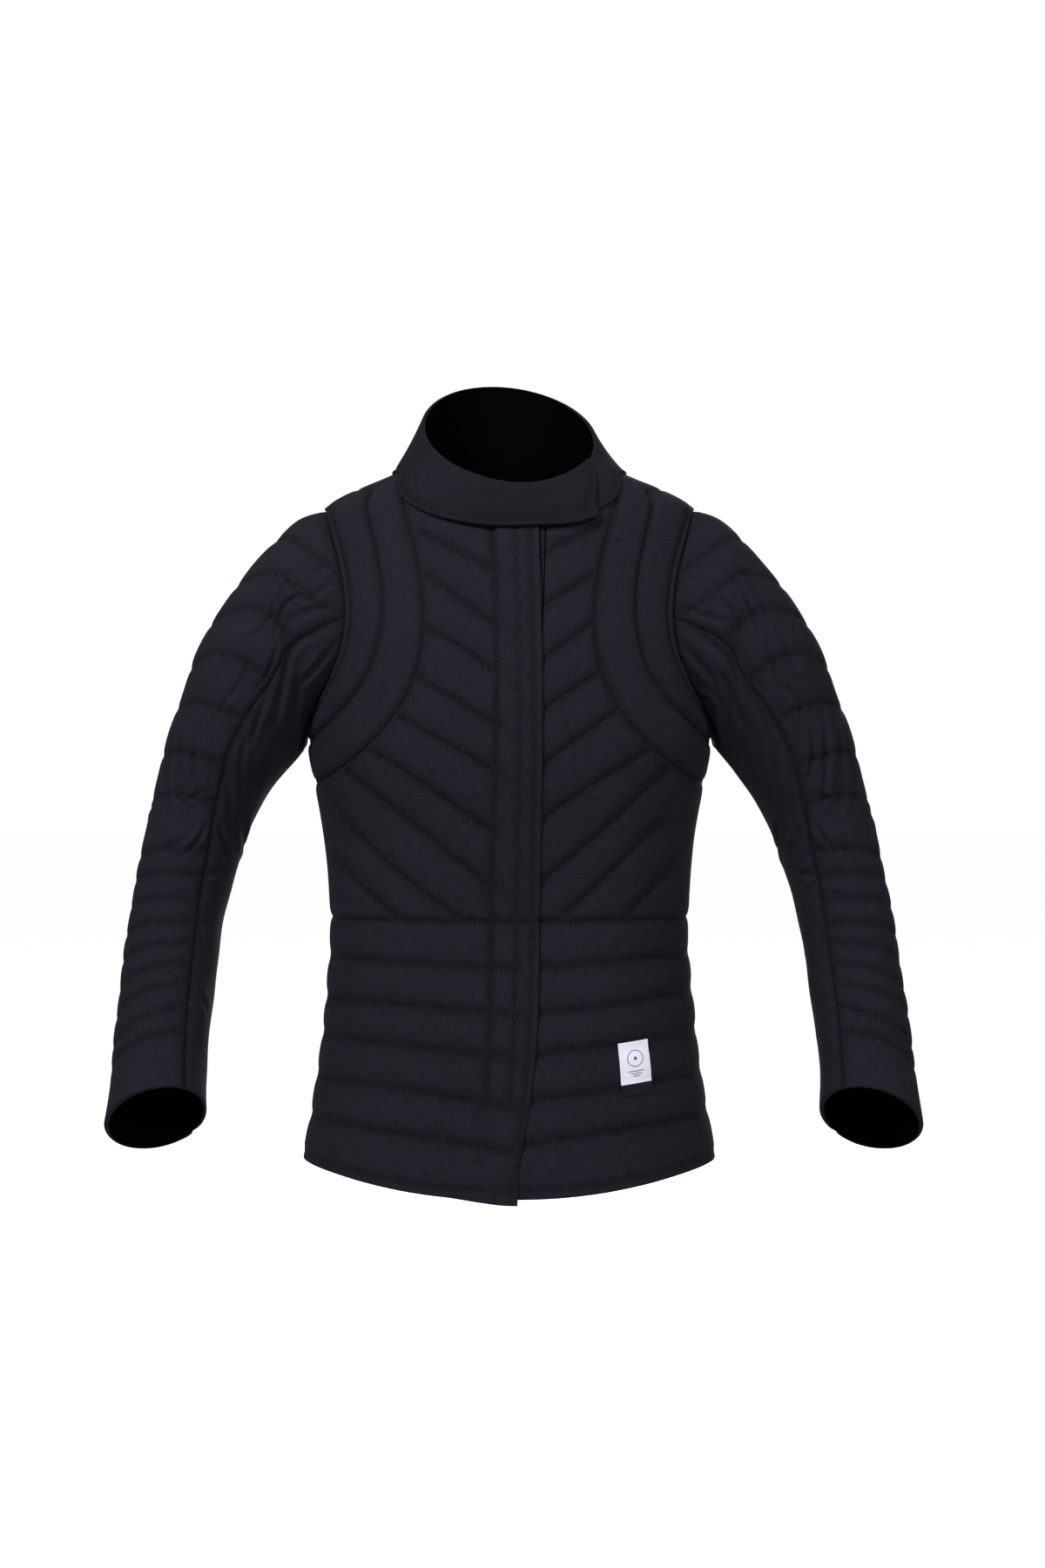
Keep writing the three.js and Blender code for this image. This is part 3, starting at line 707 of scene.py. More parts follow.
def bandInner(phi):
    phi = np.asarray(phi, float)
    corner = ovalAt(bandEdge, crossing)[0]
    turn = blend(90, corner, np.minimum(phi / crossing, 1))
    onNeck = np.stack([turn, neckSeamZ(turn)], -1)
    return np.where((phi <= crossing)[..., None], onNeck, ovalAt(bandEdge, phi))


def bandPlaces(side, fromBorder, toBorder, width, step):
    phi = np.linspace(0, 180, 400)
    middle = blend(fromBorder(phi), toBorder(phi), 0.5)
    length = alongPath(middle)
    at = np.interp(spacing(length[-1], step) * length[-1], length, phi)
    across = spacing(width, step * 0.8)
    places = blend(fromBorder(at)[None], toBorder(at)[None], across[:, None, None])
    return places * [side, 1]


def armholeBorder(phi):
    return ovalAt(armhole, phi)


def seamBorder(phi):
    return ovalAt(bandSeam, phi)


# Sewn lines of the fronts, as x and z in mm. The placket's three run down the lap.
placketLines = {
    "ramp": [(-15.5, -48), (-15.5, -61), (-12.7, -99), (-11.3, -180), (-11.3, -259), (-14.5, -342),
             (-16, -427), (-17.3, -497), (-20.9, -575)],
    "middle": [(5.9, -48), (5.9, -61), (8.6, -153), (9.9, -259), (8.1, -342), (6.1, -455), (3.8, -525),
               (1.1, -575)],
    "edge": [(19.2, -48), (19.2, -61), (21.8, -153), (23.1, -259), (22.1, -342), (20.7, -455),
             (17.9, -525), (13.7, -575), (3.9, -655)],
}
rightChevrons = [
    [(-78, -61), (-15, -96)],
    [(-74, -101), (-50, -119), (-13, -147)],
    [(-76, -149), (-49, -163), (-12, -189)],
    [(-83, -194), (-49, -214), (-11, -238)],
    [(-100, -229), (-60, -251), (-12, -279)],
    [(-123, -261), (-89, -282), (-14, -334)],
    [(-147, -279), (-103, -313), (-15, -384)],
    [(-163, -303), (-148, -325), (-104, -367), (-44, -413)],
    [(-157, -359), (-136, -382), (-101, -412)],
]
leftChevrons = [
    [(33, -80), (83, -55)],
    [(33, -127), (76, -102)],
    [(31, -178), (77, -144)],
    [(31, -223), (88, -185)],
    [(30, -273), (101, -221)],
    [(29, -323), (54, -305), (125, -260)],
    [(28, -379), (71, -344), (146, -273)],
    [(45, -413), (83, -378), (139, -323)],
    [(103, -413), (135, -379), (150, -360)],
]
rightSkirtLines = [
    [(-158, -449), (-86, -452), (9, -456)],
    [(-158, -487), (-86, -490), (9, -498)],
    [(-167, -521), (-86, -527), (3, -535)],
    [(-169, -560), (-86, -566), (9, -581)],
    [(-172, -598), (-86, -606), (3, -619)],
]
leftSkirtLines = [
    [(156, -446), (83, -452), (22, -456)],
    [(159, -481), (83, -491), (21, -496)],
    [(166, -519), (82, -526), (19, -534)],
    [(174, -555), (82, -567), (13, -575)],
    [(173, -594), (82, -604), (7, -614)],
]
quilting = dict(depth=1.6, width=4.6, pucker=0.38, rise=1.7, uneven=0.4)


def quiltGroove(path, **changes):
    values = dict(depth=quilting["depth"], width=quilting["width"], pucker=quilting["pucker"])
    return groove(path, **{**values, **changes})


def seamGroove(path, depth=1.9, width=2.8, pucker=0.15):
    return groove(path, depth=depth, width=width, pucker=pucker)


def waistGroove(path):
    return seamGroove(path, 1.0, 3.4)


def hemGroove(path):
    return groove(path, depth=0.5, width=2.8, pucker=0.35, strength=0.6)


def toSide(line):
    # carries a line on at its outer end to the side seam
    (x0, z0), (x1, z1) = line[0], line[1]
    slope = (z0 - z1) / (x0 - x1)
    end = np.sign(x0) * (float(tableAt(bodySections, "halfWidth", z0)) - 0.3)
    return [(end, z0 + slope * (end - x0) * 0.5), *line]


stitched = []  # every sewn line: its piece, its path and its group


def sewn(piece, path, group="front"):
    stitched.append(dict(piece=piece, path=path, group=group))


def bothSides(line):
    return {side: onBody(line(side)) for side in (-1, 1)}


halfRound = np.linspace(0, 180, 160)
sideSeamPath = bothSides(lambda side: pathOf(side * 90, np.linspace(-240, -645, 100)))
bandEdgePath = bothSides(lambda side: bandInner(halfRound) * [side, 1])
bandSeamPath = bothSides(lambda side: seamBorder(halfRound) * [side, 1])
armholePath = bothSides(lambda side: armholeBorder(halfRound) * [side, 1])
shoulderPath = bothSides(lambda side: pathOf(side * 90, np.linspace(-32, 4, 12)))

# Soft creases of the fronts: x and z of both ends, depth and width in mm.
frontCreases = [
    (-176, -262, -150, -318, 1.1, 7.0), (-168, -330, -140, -352, 0.9, 6.0),
    (-165, -396, -132, -404, 1.0, 6.5),
    (-120, -420, -96, -446, 0.8, 6.0), (-60, -505, -66, -520, 0.6, 5.0), (-112, -640, -104, -600, 0.8, 7.0),
    (-90, -648, -84, -622, 0.6, 6.0), (-150, -634, -144, -604, 0.7, 7.0), (-40, -120, -28, -138, 0.5, 6.0),
    (-150, -540, -120, -548, 0.7, 7.0), (-60, -330, -46, -350, 0.6, 7.0),
    (174, -268, 146, -312, 1.1, 7.0), (166, -338, 136, -358, 0.8, 6.0), (160, -398, 130, -402, 1.0, 6.5),
    (112, -424, 92, -444, 0.7, 6.0), (70, -590, 78, -604, 0.5, 5.0), (150, -640, 140, -602, 0.8, 7.0),
    (60, -650, 64, -626, 0.6, 6.0), (52, -140, 62, -126, 0.5, 6.0), (84, -300, 72, -318, 0.6, 7.0),
    (156, -500, 128, -510, 0.8, 7.0),
]
# The same for the back, with turn for x.
backCreases = [
    (96, -268, 112, -310, 1.1, 7.5), (100, -340, 124, -356, 0.9, 6.5), (98, -398, 128, -402, 1.1, 6.5),
    (150, -396, 172, -402, 0.7, 7.0), (264, -272, 246, -316, 1.0, 7.0), (260, -346, 240, -354, 0.9, 6.0),
    (262, -400, 236, -398, 1.2, 7.0), (206, -404, 190, -396, 0.8, 7.0), (168, -120, 158, -166, 0.6, 8.0),
    (196, -110, 204, -150, 0.7, 7.0), (108, -440, 132, -470, 0.9, 6.0), (250, -436, 232, -462, 0.8, 7.0),
    (144, -640, 140, -596, 0.8, 7.0), (176, -636, 172, -606, 0.6, 6.0), (214, -640, 220, -600, 0.9, 7.0),
    (246, -632, 242, -604, 0.6, 6.0), (126, -520, 150, -530, 0.6, 7.0), (232, -540, 208, -546, 0.7, 8.0),
]


def handCreases(table, toSpace):
    return [crease(toSpace([(a, b), (c, d)]), depth, width) for a, b, c, d, depth, width in table]


def placketGrooves(low, high, piece):
    # the placket's lines between two heights
    made = []
    for key, depth, strength in (("ramp", 1.6, 1.0), ("middle", 1.1, 0.8), ("edge", 1.3, 0.9)):
        path = onFront(placketLines[key], True)
        part = path[(path[:, 2] < high + 3) & (path[:, 2] > low - 3)]
        if len(part) > 1:
            made.append(groove(part, depth=depth, width=2.6, pucker=0.12, strength=strength))
            sewn(piece, part[(part[:, 2] < high) & (part[:, 2] > low)])
    return made


def chevronGrooves(piece, lines, lifted):
    made = []
    for k, line in enumerate(lines):
        path = onFront(line, lifted)
        made.append(quiltGroove(path))
        sewn(piece, path)
        x, z = line[-1]
        if lifted and x > -20 and 0 < k < 7:
            # the line shows faintly on the lap
            faint = onFront([(x, z), (x + 22, z - 12)], True)
            made.append(quiltGroove(faint, depth=0.35, strength=0.3, pucker=0.1))
            sewn(piece, faint)
    return made


def frontLooks():
    looks = {}
    freeZ = np.linspace(freeEdge["top"], freeEdge["foot"], 160)
    hemTurns = np.linspace(-90, 90, 200)
    hemPath = pathOf(hemTurns, hemZ(hemTurns))
    hemStitch = hemPath + [0, hem["stitch"]]
    sides = (
        (-1, "front_right", lapX, 34.0, 18, rightChevrons, rightSkirtLines, 11, 31, hemTurns < 0.5),
        (1, "front_left", leftEdgeX, 4.0, 2, leftChevrons, leftSkirtLines, 23, 47, hemTurns > 3),
    )
    for side, name, edgeX, flat, waistStart, chevrons, lines, chestSeed, skirtSeed, sewnPart in sides:
        isRight = side < 0
        chest, skirt = name + "_chest", name + "_skirt"
        free = onBody(pathOf(turnAtX(edgeX(freeZ), freeZ), freeZ), isRight)
        waistPath = pathOf(np.linspace(waistStart, side * 90, 90), waistZ)
        waist = onBody(waistPath, isRight)
        made = placketGrooves(waistZ, freeEdge["top"], chest) if isRight else []
        made += chevronGrooves(chest, chevrons, isRight)
        made += [seamGroove(bandEdgePath[side], 1.6, 3.2), waistGroove(waist), seamGroove(sideSeamPath[side])]
        looks[chest] = dict(quilting, seed=chestSeed, grooves=made, rounded=[(free, freeEdge["round"])],
                            flats=[(free, flat)])
        made = placketGrooves(freeEdge["foot"], waistZ, skirt) if isRight else []
        for line in lines:
            path = onFront(toSide(line), isRight)
            made.append(quiltGroove(path, width=5.6))
            sewn(skirt, path)
        hemSewn = onBody(hemStitch[sewnPart], isRight)
        sewn(skirt, hemSewn)
        sewn(skirt, onBody(waistPath + [0, -1.4], isRight))
        made += [hemGroove(hemSewn), waistGroove(waist), seamGroove(sideSeamPath[side])]
        foot = onBody(hemPath, isRight)
        looks[skirt] = dict(quilting, seed=skirtSeed, grooves=made, flats=[(free, flat), (foot, 7.0)],
                            rounded=[(free, freeEdge["round"]), (foot, 1.5)])
    return looks


def levelWaist(turn):
    return np.full(np.shape(turn), float(waistZ))


looks = frontLooks()
bodyFolds = handCreases(frontCreases, lambda ends: onFront(ends, True))
for look in looks.values():
    look["creases"] = bodyFolds
step = cloth["gridStep"]
rightChest = withLap(chestPlaces(-1, rampX, step, False), neckSeamZ, levelWaist)
rightSkirt = withLap(frontSkirtPlaces(-1, rampX, step, False), levelWaist, hemZ)
# the lap's corner hangs a little lower
tipShare = ease(-np.abs(rightSkirt[..., 0] - 2.0), -16, 0) * ease(rightSkirt[..., 1], -560, -661)
rightSkirt[..., 1] -= hem["tipDrop"] * tipShare
bodyPiece("front_right_chest", rightChest, looks["front_right_chest"], lifted=True)
bodyPiece("front_left_chest", chestPlaces(1, leftEdgeX, step, True), looks["front_left_chest"])
bodyPiece("front_right_skirt", rightSkirt, looks["front_right_skirt"], lifted=True)
bodyPiece("front_left_skirt", frontSkirtPlaces(1, leftEdgeX, step, True), looks["front_left_skirt"])
print("fronts made")

# The shoulder bands. Their seam is deep from one step of its path on, and flatter up to another.
bands = dict(rise=1.7, uneven=0.4, edgeWidth=5.5, stitchInset=1.6, deepFrom=13, flatTo=15)


def betweenBorders(side, fromBorder, toBorder, inset):
    # a line that runs the inset in from one border of a band
    phi = np.linspace(3, 177, 150)
    start, end = fromBorder(phi), toBorder(phi)
    width = np.linalg.norm(bodySurface(*start.T) - bodySurface(*end.T), axis=1)
    share = np.clip(inset / np.maximum(width, 1), 0, 0.5)
    return onBody(blend(start, end, share[:, None]) * [side, 1])


def bandLooks(side):
    ends = [seamGroove(shoulderPath[side], 1.4, 4.0), seamGroove(sideSeamPath[side], 1.4, 4.0)]
    topstitch = betweenBorders(side, armholeBorder, seamBorder, bands["edgeWidth"])
    edgeStitch = betweenBorders(side, bandInner, seamBorder, bands["stitchInset"])
    seam = [seamGroove(bandSeamPath[side][bands["deepFrom"]:], 2.5, 2.7, 0.2),
            groove(bandSeamPath[side][:bands["flatTo"]], depth=1.0, width=1.6, pucker=0.1, strength=0.5)]
    outer = [*seam, groove(topstitch, depth=0.9, width=1.8, pucker=0.2, strength=0.9)]
    inner = [*seam, seamGroove(bandEdgePath[side], 1.5, 3.2, 0.3)]
    common = dict(rise=bands["rise"], uneven=bands["uneven"])
    return (
        dict(common, seed=61 + side, grooves=outer + ends, rounded=[(armholePath[side], 1.2)]),
        dict(common, seed=71 + side, grooves=inner + ends), topstitch, edgeStitch,
    )


for side, name in ((-1, "right"), (1, "left")):
    outerLook, innerLook, topstitch, edgeStitch = bandLooks(side)
    outerName, innerName = "shoulder_band_outer_" + name, "shoulder_band_inner_" + name
    bodyPiece(outerName, bandPlaces(side, armholeBorder, seamBorder, 30, step), outerLook)
    bodyPiece(innerName, bandPlaces(side, seamBorder, bandInner, 34, step), innerLook)
    sewn(outerName, topstitch)
    sewn(innerName, edgeStitch)
print("shoulder bands made")


# The back: chevrons that drop towards the middle, and level lines below the waist.
backQuilt = dict(count=8, top=-60, gap=42, rise=62, skirtLines=5, skirtTop=-449, skirtGap=37.5, seed=5)


def backLooks():
    rng = np.random.default_rng(backQuilt["seed"])
    chest, skirt = [], []
    for k in range(backQuilt["count"]):
        foot = backQuilt["top"] - backQuilt["gap"] * (k + 1) + rng.uniform(-3, 3)
        top = foot + backQuilt["rise"] + rng.uniform(-4, 4)
        turns = np.linspace(94, 266, 60)
        zs = blend(foot, top, (np.abs(turns - 180) / 86) ** 0.9)
        clearOfArm = (zs < -245) | (np.abs(np.abs(turns - 180) - 90) > ovalReach(zs) + 1.5)
        inside = (zs > waistZ + 1) & clearOfArm & (zs < neckSeamZ(turns) - 4)
        if inside.sum() > 3:
            path = onBody(pathOf(turns, zs)[inside])
            chest.append(quiltGroove(path))
            sewn("back_chest", path, "back")
    for k in range(backQuilt["skirtLines"]):
        z = backQuilt["skirtTop"] - backQuilt["skirtGap"] * k + rng.uniform(-2, 2)
        turns = np.linspace(90, 270, 80)
        sag = 5 * np.cos(np.radians(turns - 180)) ** 2
        path = onBody(pathOf(turns, z - sag))
        skirt.append(quiltGroove(path, width=5.6))
        sewn("back_skirt", path, "back")
    return chest, skirt


def middleOf(oval):
    return (oval["top"] + oval["foot"]) / 2, (oval["top"] - oval["foot"]) / 2


def ovalReach(z):
    middle, half = middleOf(armholeBack)
    height = np.clip((z - middle) / half, -1, 1)
    power = armholeBack["power"] - armholeBack["swing"] * height
    return armholeBack["reach"] * np.sqrt(1 - height**2) ** power


def backChestPlaces(step):
    arm = ovalAt(armholeBack, np.linspace(0, 180, 240), 1)
    seam = pathOf(90, np.linspace(armholeBack["foot"], waistZ, 60)[1:])
    right = np.concatenate([arm, seam])
    left = pathOf(180, np.linspace(float(neckSeamZ(180.0)), waistZ, 80))
    turns = np.linspace(180, 90, 80)
    shoulder = pathOf(90, np.linspace(float(neckSeamZ(90.0)), armholeBack["top"], 20)[1:])
    top = np.concatenate([pathOf(turns, neckSeamZ(turns)), shoulder])
    foot = pathOf(np.linspace(180, 90, 100), waistZ)
    us = spacing(alongPath(foot)[-1], step, False, True)
    vs = spacing(alongPath(right)[-1], step, True, True)
    half = patch(top, foot, left, right, us, vs)
    mirror = half[:, :0:-1] * [-1, 1] + [360, 0]
    return np.concatenate([mirror, half], axis=1)


backStep = cloth["backStep"]
hemTurns = np.linspace(90, 270, 160)
backWaist = onBody(pathOf(np.linspace(90, 270, 120), waistZ))
backHem = pathOf(hemTurns, hemZ(hemTurns))
backStitch = onBody(backHem + [0, hem["stitch"]])
backArm = bothSides(lambda side: ovalAt(armholeBack, np.linspace(0, 180, 120), 1) * [side, 1])
backFolds = handCreases(backCreases, lambda ends: onBody(np.array(ends, float)))
sideSeams = [seamGroove(sideSeamPath[side]) for side in (-1, 1)]
chestGrooves, skirtGrooves = backLooks()
chestGrooves += [waistGroove(backWaist), *sideSeams]
chestGrooves += [seamGroove(backArm[side], 1.5, 3.4) for side in (-1, 1)]
chestGrooves += [seamGroove(shoulderPath[side], 1.4, 4.0) for side in (-1, 1)]
skirtGrooves += [waistGroove(backWaist), *sideSeams, hemGroove(backStitch)]
sewn("back_skirt", backStitch, "back")
backTurns = 90 + 180 * spacing(panelWidths["backSkirt"], backStep)
backDown = spacing(waistZ - hem["side"], backStep)[:, None]
backSkirt = np.stack(np.broadcast_arrays(backTurns[None], blend(waistZ, hemZ(backTurns)[None], backDown)), -1)
bodyPiece("back_chest", backChestPlaces(backStep),
          dict(quilting, seed=83, grooves=chestGrooves, creases=backFolds))
backHemPath = onBody(backHem)
bodyPiece("back_skirt", backSkirt,
          dict(quilting, seed=97, grooves=skirtGrooves, creases=backFolds,
               rounded=[(backHemPath, 1.5)], flats=[(backHemPath, 7.0)]))
print("back made")


# Sleeves: around is 0 at the shoulder, 180 under the arm, negative behind.
sleeves = dict(seamAt=89.576, capShare=0.005, rise=0.9, underRise=0.4, uneven=0.7, underUneven=0.8,
               depth=0.8, width=3.8, pucker=0.6, step=2.0, creaseDepth=1.75, creaseWidth=0.72,
               capSink=-0.4, cuffRound=1.3)
# Grooves where the sleeve meets the body: from and to in degrees round it, depth, width and pucker. The wide
# third one deepens the cloth and also darkens its colour through the crown, as painted shade low at the front
# of the armhole.
armholeGrooves = [
    (-40, 40, 1.0, 3.4, 0.4), (38, 181, 2.6, 3.2, 0.8), (76, 150, 2.2, 8.0, 0.9), (-181, -38, 2.6, 3.2, 0.8),
]
lastRow = sleeveSections["outX"].size


def sleeveAngle(places):
    p = bodySurface(places[..., 0], places[..., 1])
    middle, half = middleOf(armhole)
    return np.degrees(np.arctan2(-p[..., 1] / sleeveSections["halfDepth"][0], (p[..., 2] - middle) / half))


def armholeAt(around):
    phi = np.abs(around)[..., None]
    front, back = ovalAt(armhole, phi[..., 0]), ovalAt(armholeBack, phi[..., 0], 1)
    return np.where(np.asarray(around)[..., None] >= 0, front, back)


def seamAngle(around):
    return np.abs(sleeveAngle(armholeAt(np.array([around]))))[0]


def sleeveColumns(around, side):
    # for each place round the armhole, its points down the sleeve
    places = armholeAt(around)
    start = sleeveAngle(places)
    seam = np.where(around >= 0, seamAngle(sleeves["seamAt"]), seamAngle(-sleeves["seamAt"]))[:, None]
    size, row = np.abs(start)[:, None], {k: v[None] for k, v in sleeveSections.items()}
    moved = np.where(size <= seam, size * row["seam"] / seam,
                     180 - (180 - size) * (180 - row["seam"]) / (180 - seam))
    angle, tip = np.radians(np.sign(start)[:, None] * moved), np.radians(row["tip"])
    s, c = np.sin(angle), np.cos(angle)
    share = np.linspace(0, 1, lastRow)[None]
    shift = (leftCuffShift if side > 0 else 0) * share**2
    x = (row["outX"] + row["inX"]) / 2 + (row["outX"] - row["inX"]) / 2 * c + shift
    y = row["y"] - row["halfDepth"] * s * np.cos(tip)
    z = (row["outZ"] + row["inZ"]) / 2 + (row["outZ"] - row["inZ"]) / 2 * c
    z = z + row["halfDepth"] * s * np.sin(tip)
    middle = np.array([90, middleOf(armhole)[0]])
    cap = blend(places, middle, sleeves["capShare"])
    cap = bodyPoint(cap[:, 0], cap[:, 1], np.full(len(cap), sleeves["capSink"]))
    return np.concatenate([cap[:, None], np.stack([x, y, z], -1)], axis=1)


def sleeveKnots():
    points = sleeveColumns(np.array([-60.0, 0.0, 60.0]), 1)
    steps = np.linalg.norm(np.diff(points, axis=1), axis=-1).mean(axis=0)
    return np.concatenate([[0], np.cumsum(steps)])


knots = sleeveKnots()


def sleevePoint(around, row, side):
    # row counts the sections from 0 at the armhole to 16 at the cuff
    around = np.asarray(around, float)
    around = np.where(around > 180, around - 360, around)
    at = np.interp(row, np.arange(len(knots)), knots)
    points = hermite(knots, sleeveColumns(around, side), at)
    return points * [side, 1, 1]


def sleeveGrid(start, end, side):
    fine = np.linspace(start, end, 300)
    ring = sleevePoint(fine, np.full(300, 4.0), side)
    length = np.concatenate([[0], np.cumsum(np.linalg.norm(np.diff(ring, axis=0), axis=1))])
    across = np.interp(spacing(length[-1], sleeves["step"]) * length[-1], length, fine)
    down = spacing(knots[-1], sleeves["step"]) * knots[-1]
    rows = np.interp(down, knots, np.arange(len(knots)))
    rowGrid, aroundGrid = np.meshgrid(rows, across, indexing="ij")
    base = sleevePoint(aroundGrid.ravel(), rowGrid.ravel(), side).reshape(*rowGrid.shape, 3)
    normal = unit(np.cross(np.gradient(base, axis=1), np.gradient(base, axis=0))) * side
    widths = np.linalg.norm(np.diff(base, axis=1), axis=-1)
    u = np.concatenate([np.zeros((len(rows), 1)), np.cumsum(widths, axis=1)], axis=1)
    u -= u[:, [u.shape[1] // 2]]
    return base, normal, np.stack([u, np.broadcast_to(-down[:, None], u.shape)], -1)


# Quilting of the upper sleeve: its section row at the outside, and at the seam.
sleeveQuilt = namedColumns("outer seam", [
    (2.7, 0), (3.6, 1), (4.56, 2.45), (5.4, 4.0), (6.5, 5.3), (7.5, 6.4), (8.85, 7.75),
    (9.45, 8.6), (10.1, 9.45), (10.8, 10.25), (11.5, 11.0), (12.25, 11.75), (12.95, 12.45),
    (13.8, 13.2), (14.4, 14.0),
])
# Creases of the sleeves: around and row of the start and the end, depth and width in mm.
# A negative depth is a ridge.
upperCreases = [
    (83, 0.1, 79, 1.3, 1.4, 4.2), (70, 0.1, 70, 1.1, 1.0, 4.0), (60, 0.1, 57, 0.9, 0.9, 4.0),
    (-82, 0.1, -78, 1.2, 1.3, 4.2), (-66, 0.1, -64, 1.0, 0.9, 4.2),
    (58, 0.9, 67, 2.5, 1.3, 4.0), (71, 0.6, 77, 2.0, 1.6, 3.6), (47, 1.2, 54, 2.7, 0.9, 4.6),
    (80, 1.7, 84, 3.3, 1.5, 3.6), (66, 2.6, 73, 4.0, 1.3, 4.0), (77, 3.4, 70, 4.9, 1.2, 4.2),
    (52, 2.9, 60, 4.3, 0.8, 4.8), (62, 1.6, 57, 3.0, -0.7, 4.4), (38, 4.9, 61, 7.3, 1.5, 5.0),
    (54, 5.1, 74, 6.9, 1.4, 4.4), (26, 5.6, 47, 7.6, 0.9, 5.6), (68, 4.8, 85, 6.2, 1.4, 4.2),
    (80, 6.3, 57, 7.4, 1.2, 4.0), (85, 7.0, 66, 8.4, 1.3, 4.0), (72, 7.7, 50, 8.6, 0.9, 4.6),
    (47, 6.0, 60, 7.0, -0.8, 5.0), (84, 9.2, 70, 9.7, 0.6, 3.8), (82, 11.1, 66, 11.6, 0.5, 4.0),
    (80, 13.2, 64, 13.7, 0.6, 4.4), (-56, 0.9, -66, 2.6, 1.2, 4.4), (-72, 0.7, -78, 2.3, 1.5, 3.8),
    (-44, 1.4, -50, 2.9, 0.8, 5.0), (-80, 2.6, -70, 4.2, 1.3, 4.2), (-62, 3.4, -56, 4.8, 0.9, 5.0),
    (-40, 5.2, -62, 7.2, 1.3, 5.4), (-58, 5.4, -80, 6.9, 1.5, 4.4), (-84, 6.6, -60, 7.8, 1.5, 4.4),
    (-86, 7.7, -58, 8.5, 1.1, 4.6), (-50, 7.6, -24, 8.4, 0.8, 6.0), (14, 7.4, -12, 8.1, 0.6, 6.0),
    (-82, 10.2, -66, 10.8, 0.6, 4.2), (-80, 13.0, -62, 13.5, 0.5, 4.4),
]
underCreases = [
    (92, 0.2, 101, 1.7, 2.0, 4.6), (101, 0.1, 120, 1.1, 1.9, 4.6), (134, 0.1, 142, 0.9, 1.4, 5.0),
    (264, 0.2, 255, 1.6, 1.7, 4.6), (246, 0.1, 232, 1.0, 1.4, 4.8),
    (97, 1.2, 117, 3.3, 1.8, 4.6), (108, 0.7, 133, 2.8, 1.7, 5.2), (94, 2.7, 108, 4.3, 1.4, 4.0),
    (124, 0.5, 147, 2.0, -1.2, 5.4), (152, 0.4, 160, 2.4, 1.5, 6.0), (100, 4.1, 123, 5.6, 1.4, 4.6),
    (94, 5.4, 117, 6.9, 1.2, 4.2), (98, 6.9, 136, 7.8, 1.6, 5.2), (94, 8.5, 122, 8.3, 1.1, 4.6),
    (128, 3.4, 142, 5.0, 1.0, 6.0), (140, 6.4, 168, 7.2, 1.3, 6.0), (96, 10.4, 116, 10.9, 0.7, 4.4),
    (112, 12.6, 150, 13.2, 0.7, 6.0), (262, 1.3, 243, 3.4, 1.7, 4.8), (250, 0.8, 226, 2.8, 1.5, 5.4),
    (264, 3.8, 246, 5.2, 1.2, 4.4), (200, 0.5, 214, 2.2, 1.4, 6.0), (262, 6.0, 226, 7.2, 1.6, 5.2),
    (264, 7.6, 232, 8.2, 1.3, 4.8), (216, 4.4, 236, 5.8, 0.9, 6.4), (182, 7.0, 210, 7.6, 1.1, 6.0),
    (248, 10.8, 214, 11.3, 0.7, 5.4), (256, 13.3, 218, 13.8, 0.6, 5.6),
]


def sleeveLine(side, places):
    places = smoothCurve(np.array(places, float) * [0.4, 30], 2.5) / [0.4, 30]
    return sleevePoint(places[:, 0], places[:, 1], side)


def sleeveCreases(side, table, seed):
    rng = np.random.default_rng(seed)
    made = []
    for a0, r0, a1, r1, depth, width in table:
        bow = rng.uniform(-5, 5)
        change = rng.uniform(0.75, 1.2, 2)
        middle = ((a0 + a1) / 2 + bow, (r0 + r1) / 2)
        path = sleeveLine(side, [(a0, r0), middle, (a1, r1)])
        deep, wide = change * [sleeves["creaseDepth"], sleeves["creaseWidth"]]
        made.append(crease(path, depth * deep, width * wide))
    return made


def sleeveLooks(side, upperName):
    around = np.linspace(-180, 180, 240)
    top = sleevePoint(around, np.zeros(240), side)
    cuff = sleevePoint(around, np.full(240, float(lastRow)), side)
    down = np.linspace(0, lastRow, 160)
    seams = [seamGroove(sleevePoint(np.full(160, place), down, side), 1.9, 2.4, 0.6)
             for place in (sleeves["seamAt"], -sleeves["seamAt"])]
    for low, high, depth, width, pucker in armholeGrooves:
        part = top[(around > low) & (around < high)]
        seams.append(groove(part, depth=depth, width=width, pucker=pucker))
    quiltLines = [[(0, 1.6), (sign * 34, 1.0), (sign * 66, 0.05)] for sign in (1, -1)]
    across = np.linspace(-sleeves["seamAt"], sleeves["seamAt"], 15)
    for outer, inner in zip(sleeveQuilt["outer"], sleeveQuilt["seam"]):
        quiltLines.append([(a, blend(outer, inner, (abs(a) / sleeves["seamAt"]) ** 1.35)) for a in across])
    quilts = []
    for line in quiltLines:
        path = sleeveLine(side, line)
        quilts.append(groove(path, depth=sleeves["depth"], width=sleeves["width"], pucker=sleeves["pucker"]))
        sewn(upperName, path, "sleeves")
    rounded = [(cuff, sleeves["cuffRound"])]
    return (
        dict(rise=sleeves["rise"], uneven=sleeves["uneven"], seed=120 + side, grooves=seams + quilts,
             creases=sleeveCreases(side, upperCreases, 130 + side), rounded=rounded),
        dict(rise=sleeves["underRise"], uneven=sleeves["underUneven"], seed=140 + side, grooves=seams,
             creases=sleeveCreases(side, underCreases, 150 + side), rounded=rounded),
    )


for side, name in ((-1, "right"), (1, "left")):
    seamAt = sleeves["seamAt"]
    ranges = ((-seamAt, seamAt), (seamAt, 360 - seamAt))
    names = ["sleeve_" + name + "_upper", "sleeve_" + name + "_under"]
    for pieceName, (start, end), look in zip(names, ranges, sleeveLooks(side, names[0])):
        base, normal, uv = sleeveGrid(start, end, side)
        settle(clothPiece(pieceName, base, normal, look, uv, "quilted"), [pieceName],
               base)
print("sleeves made")


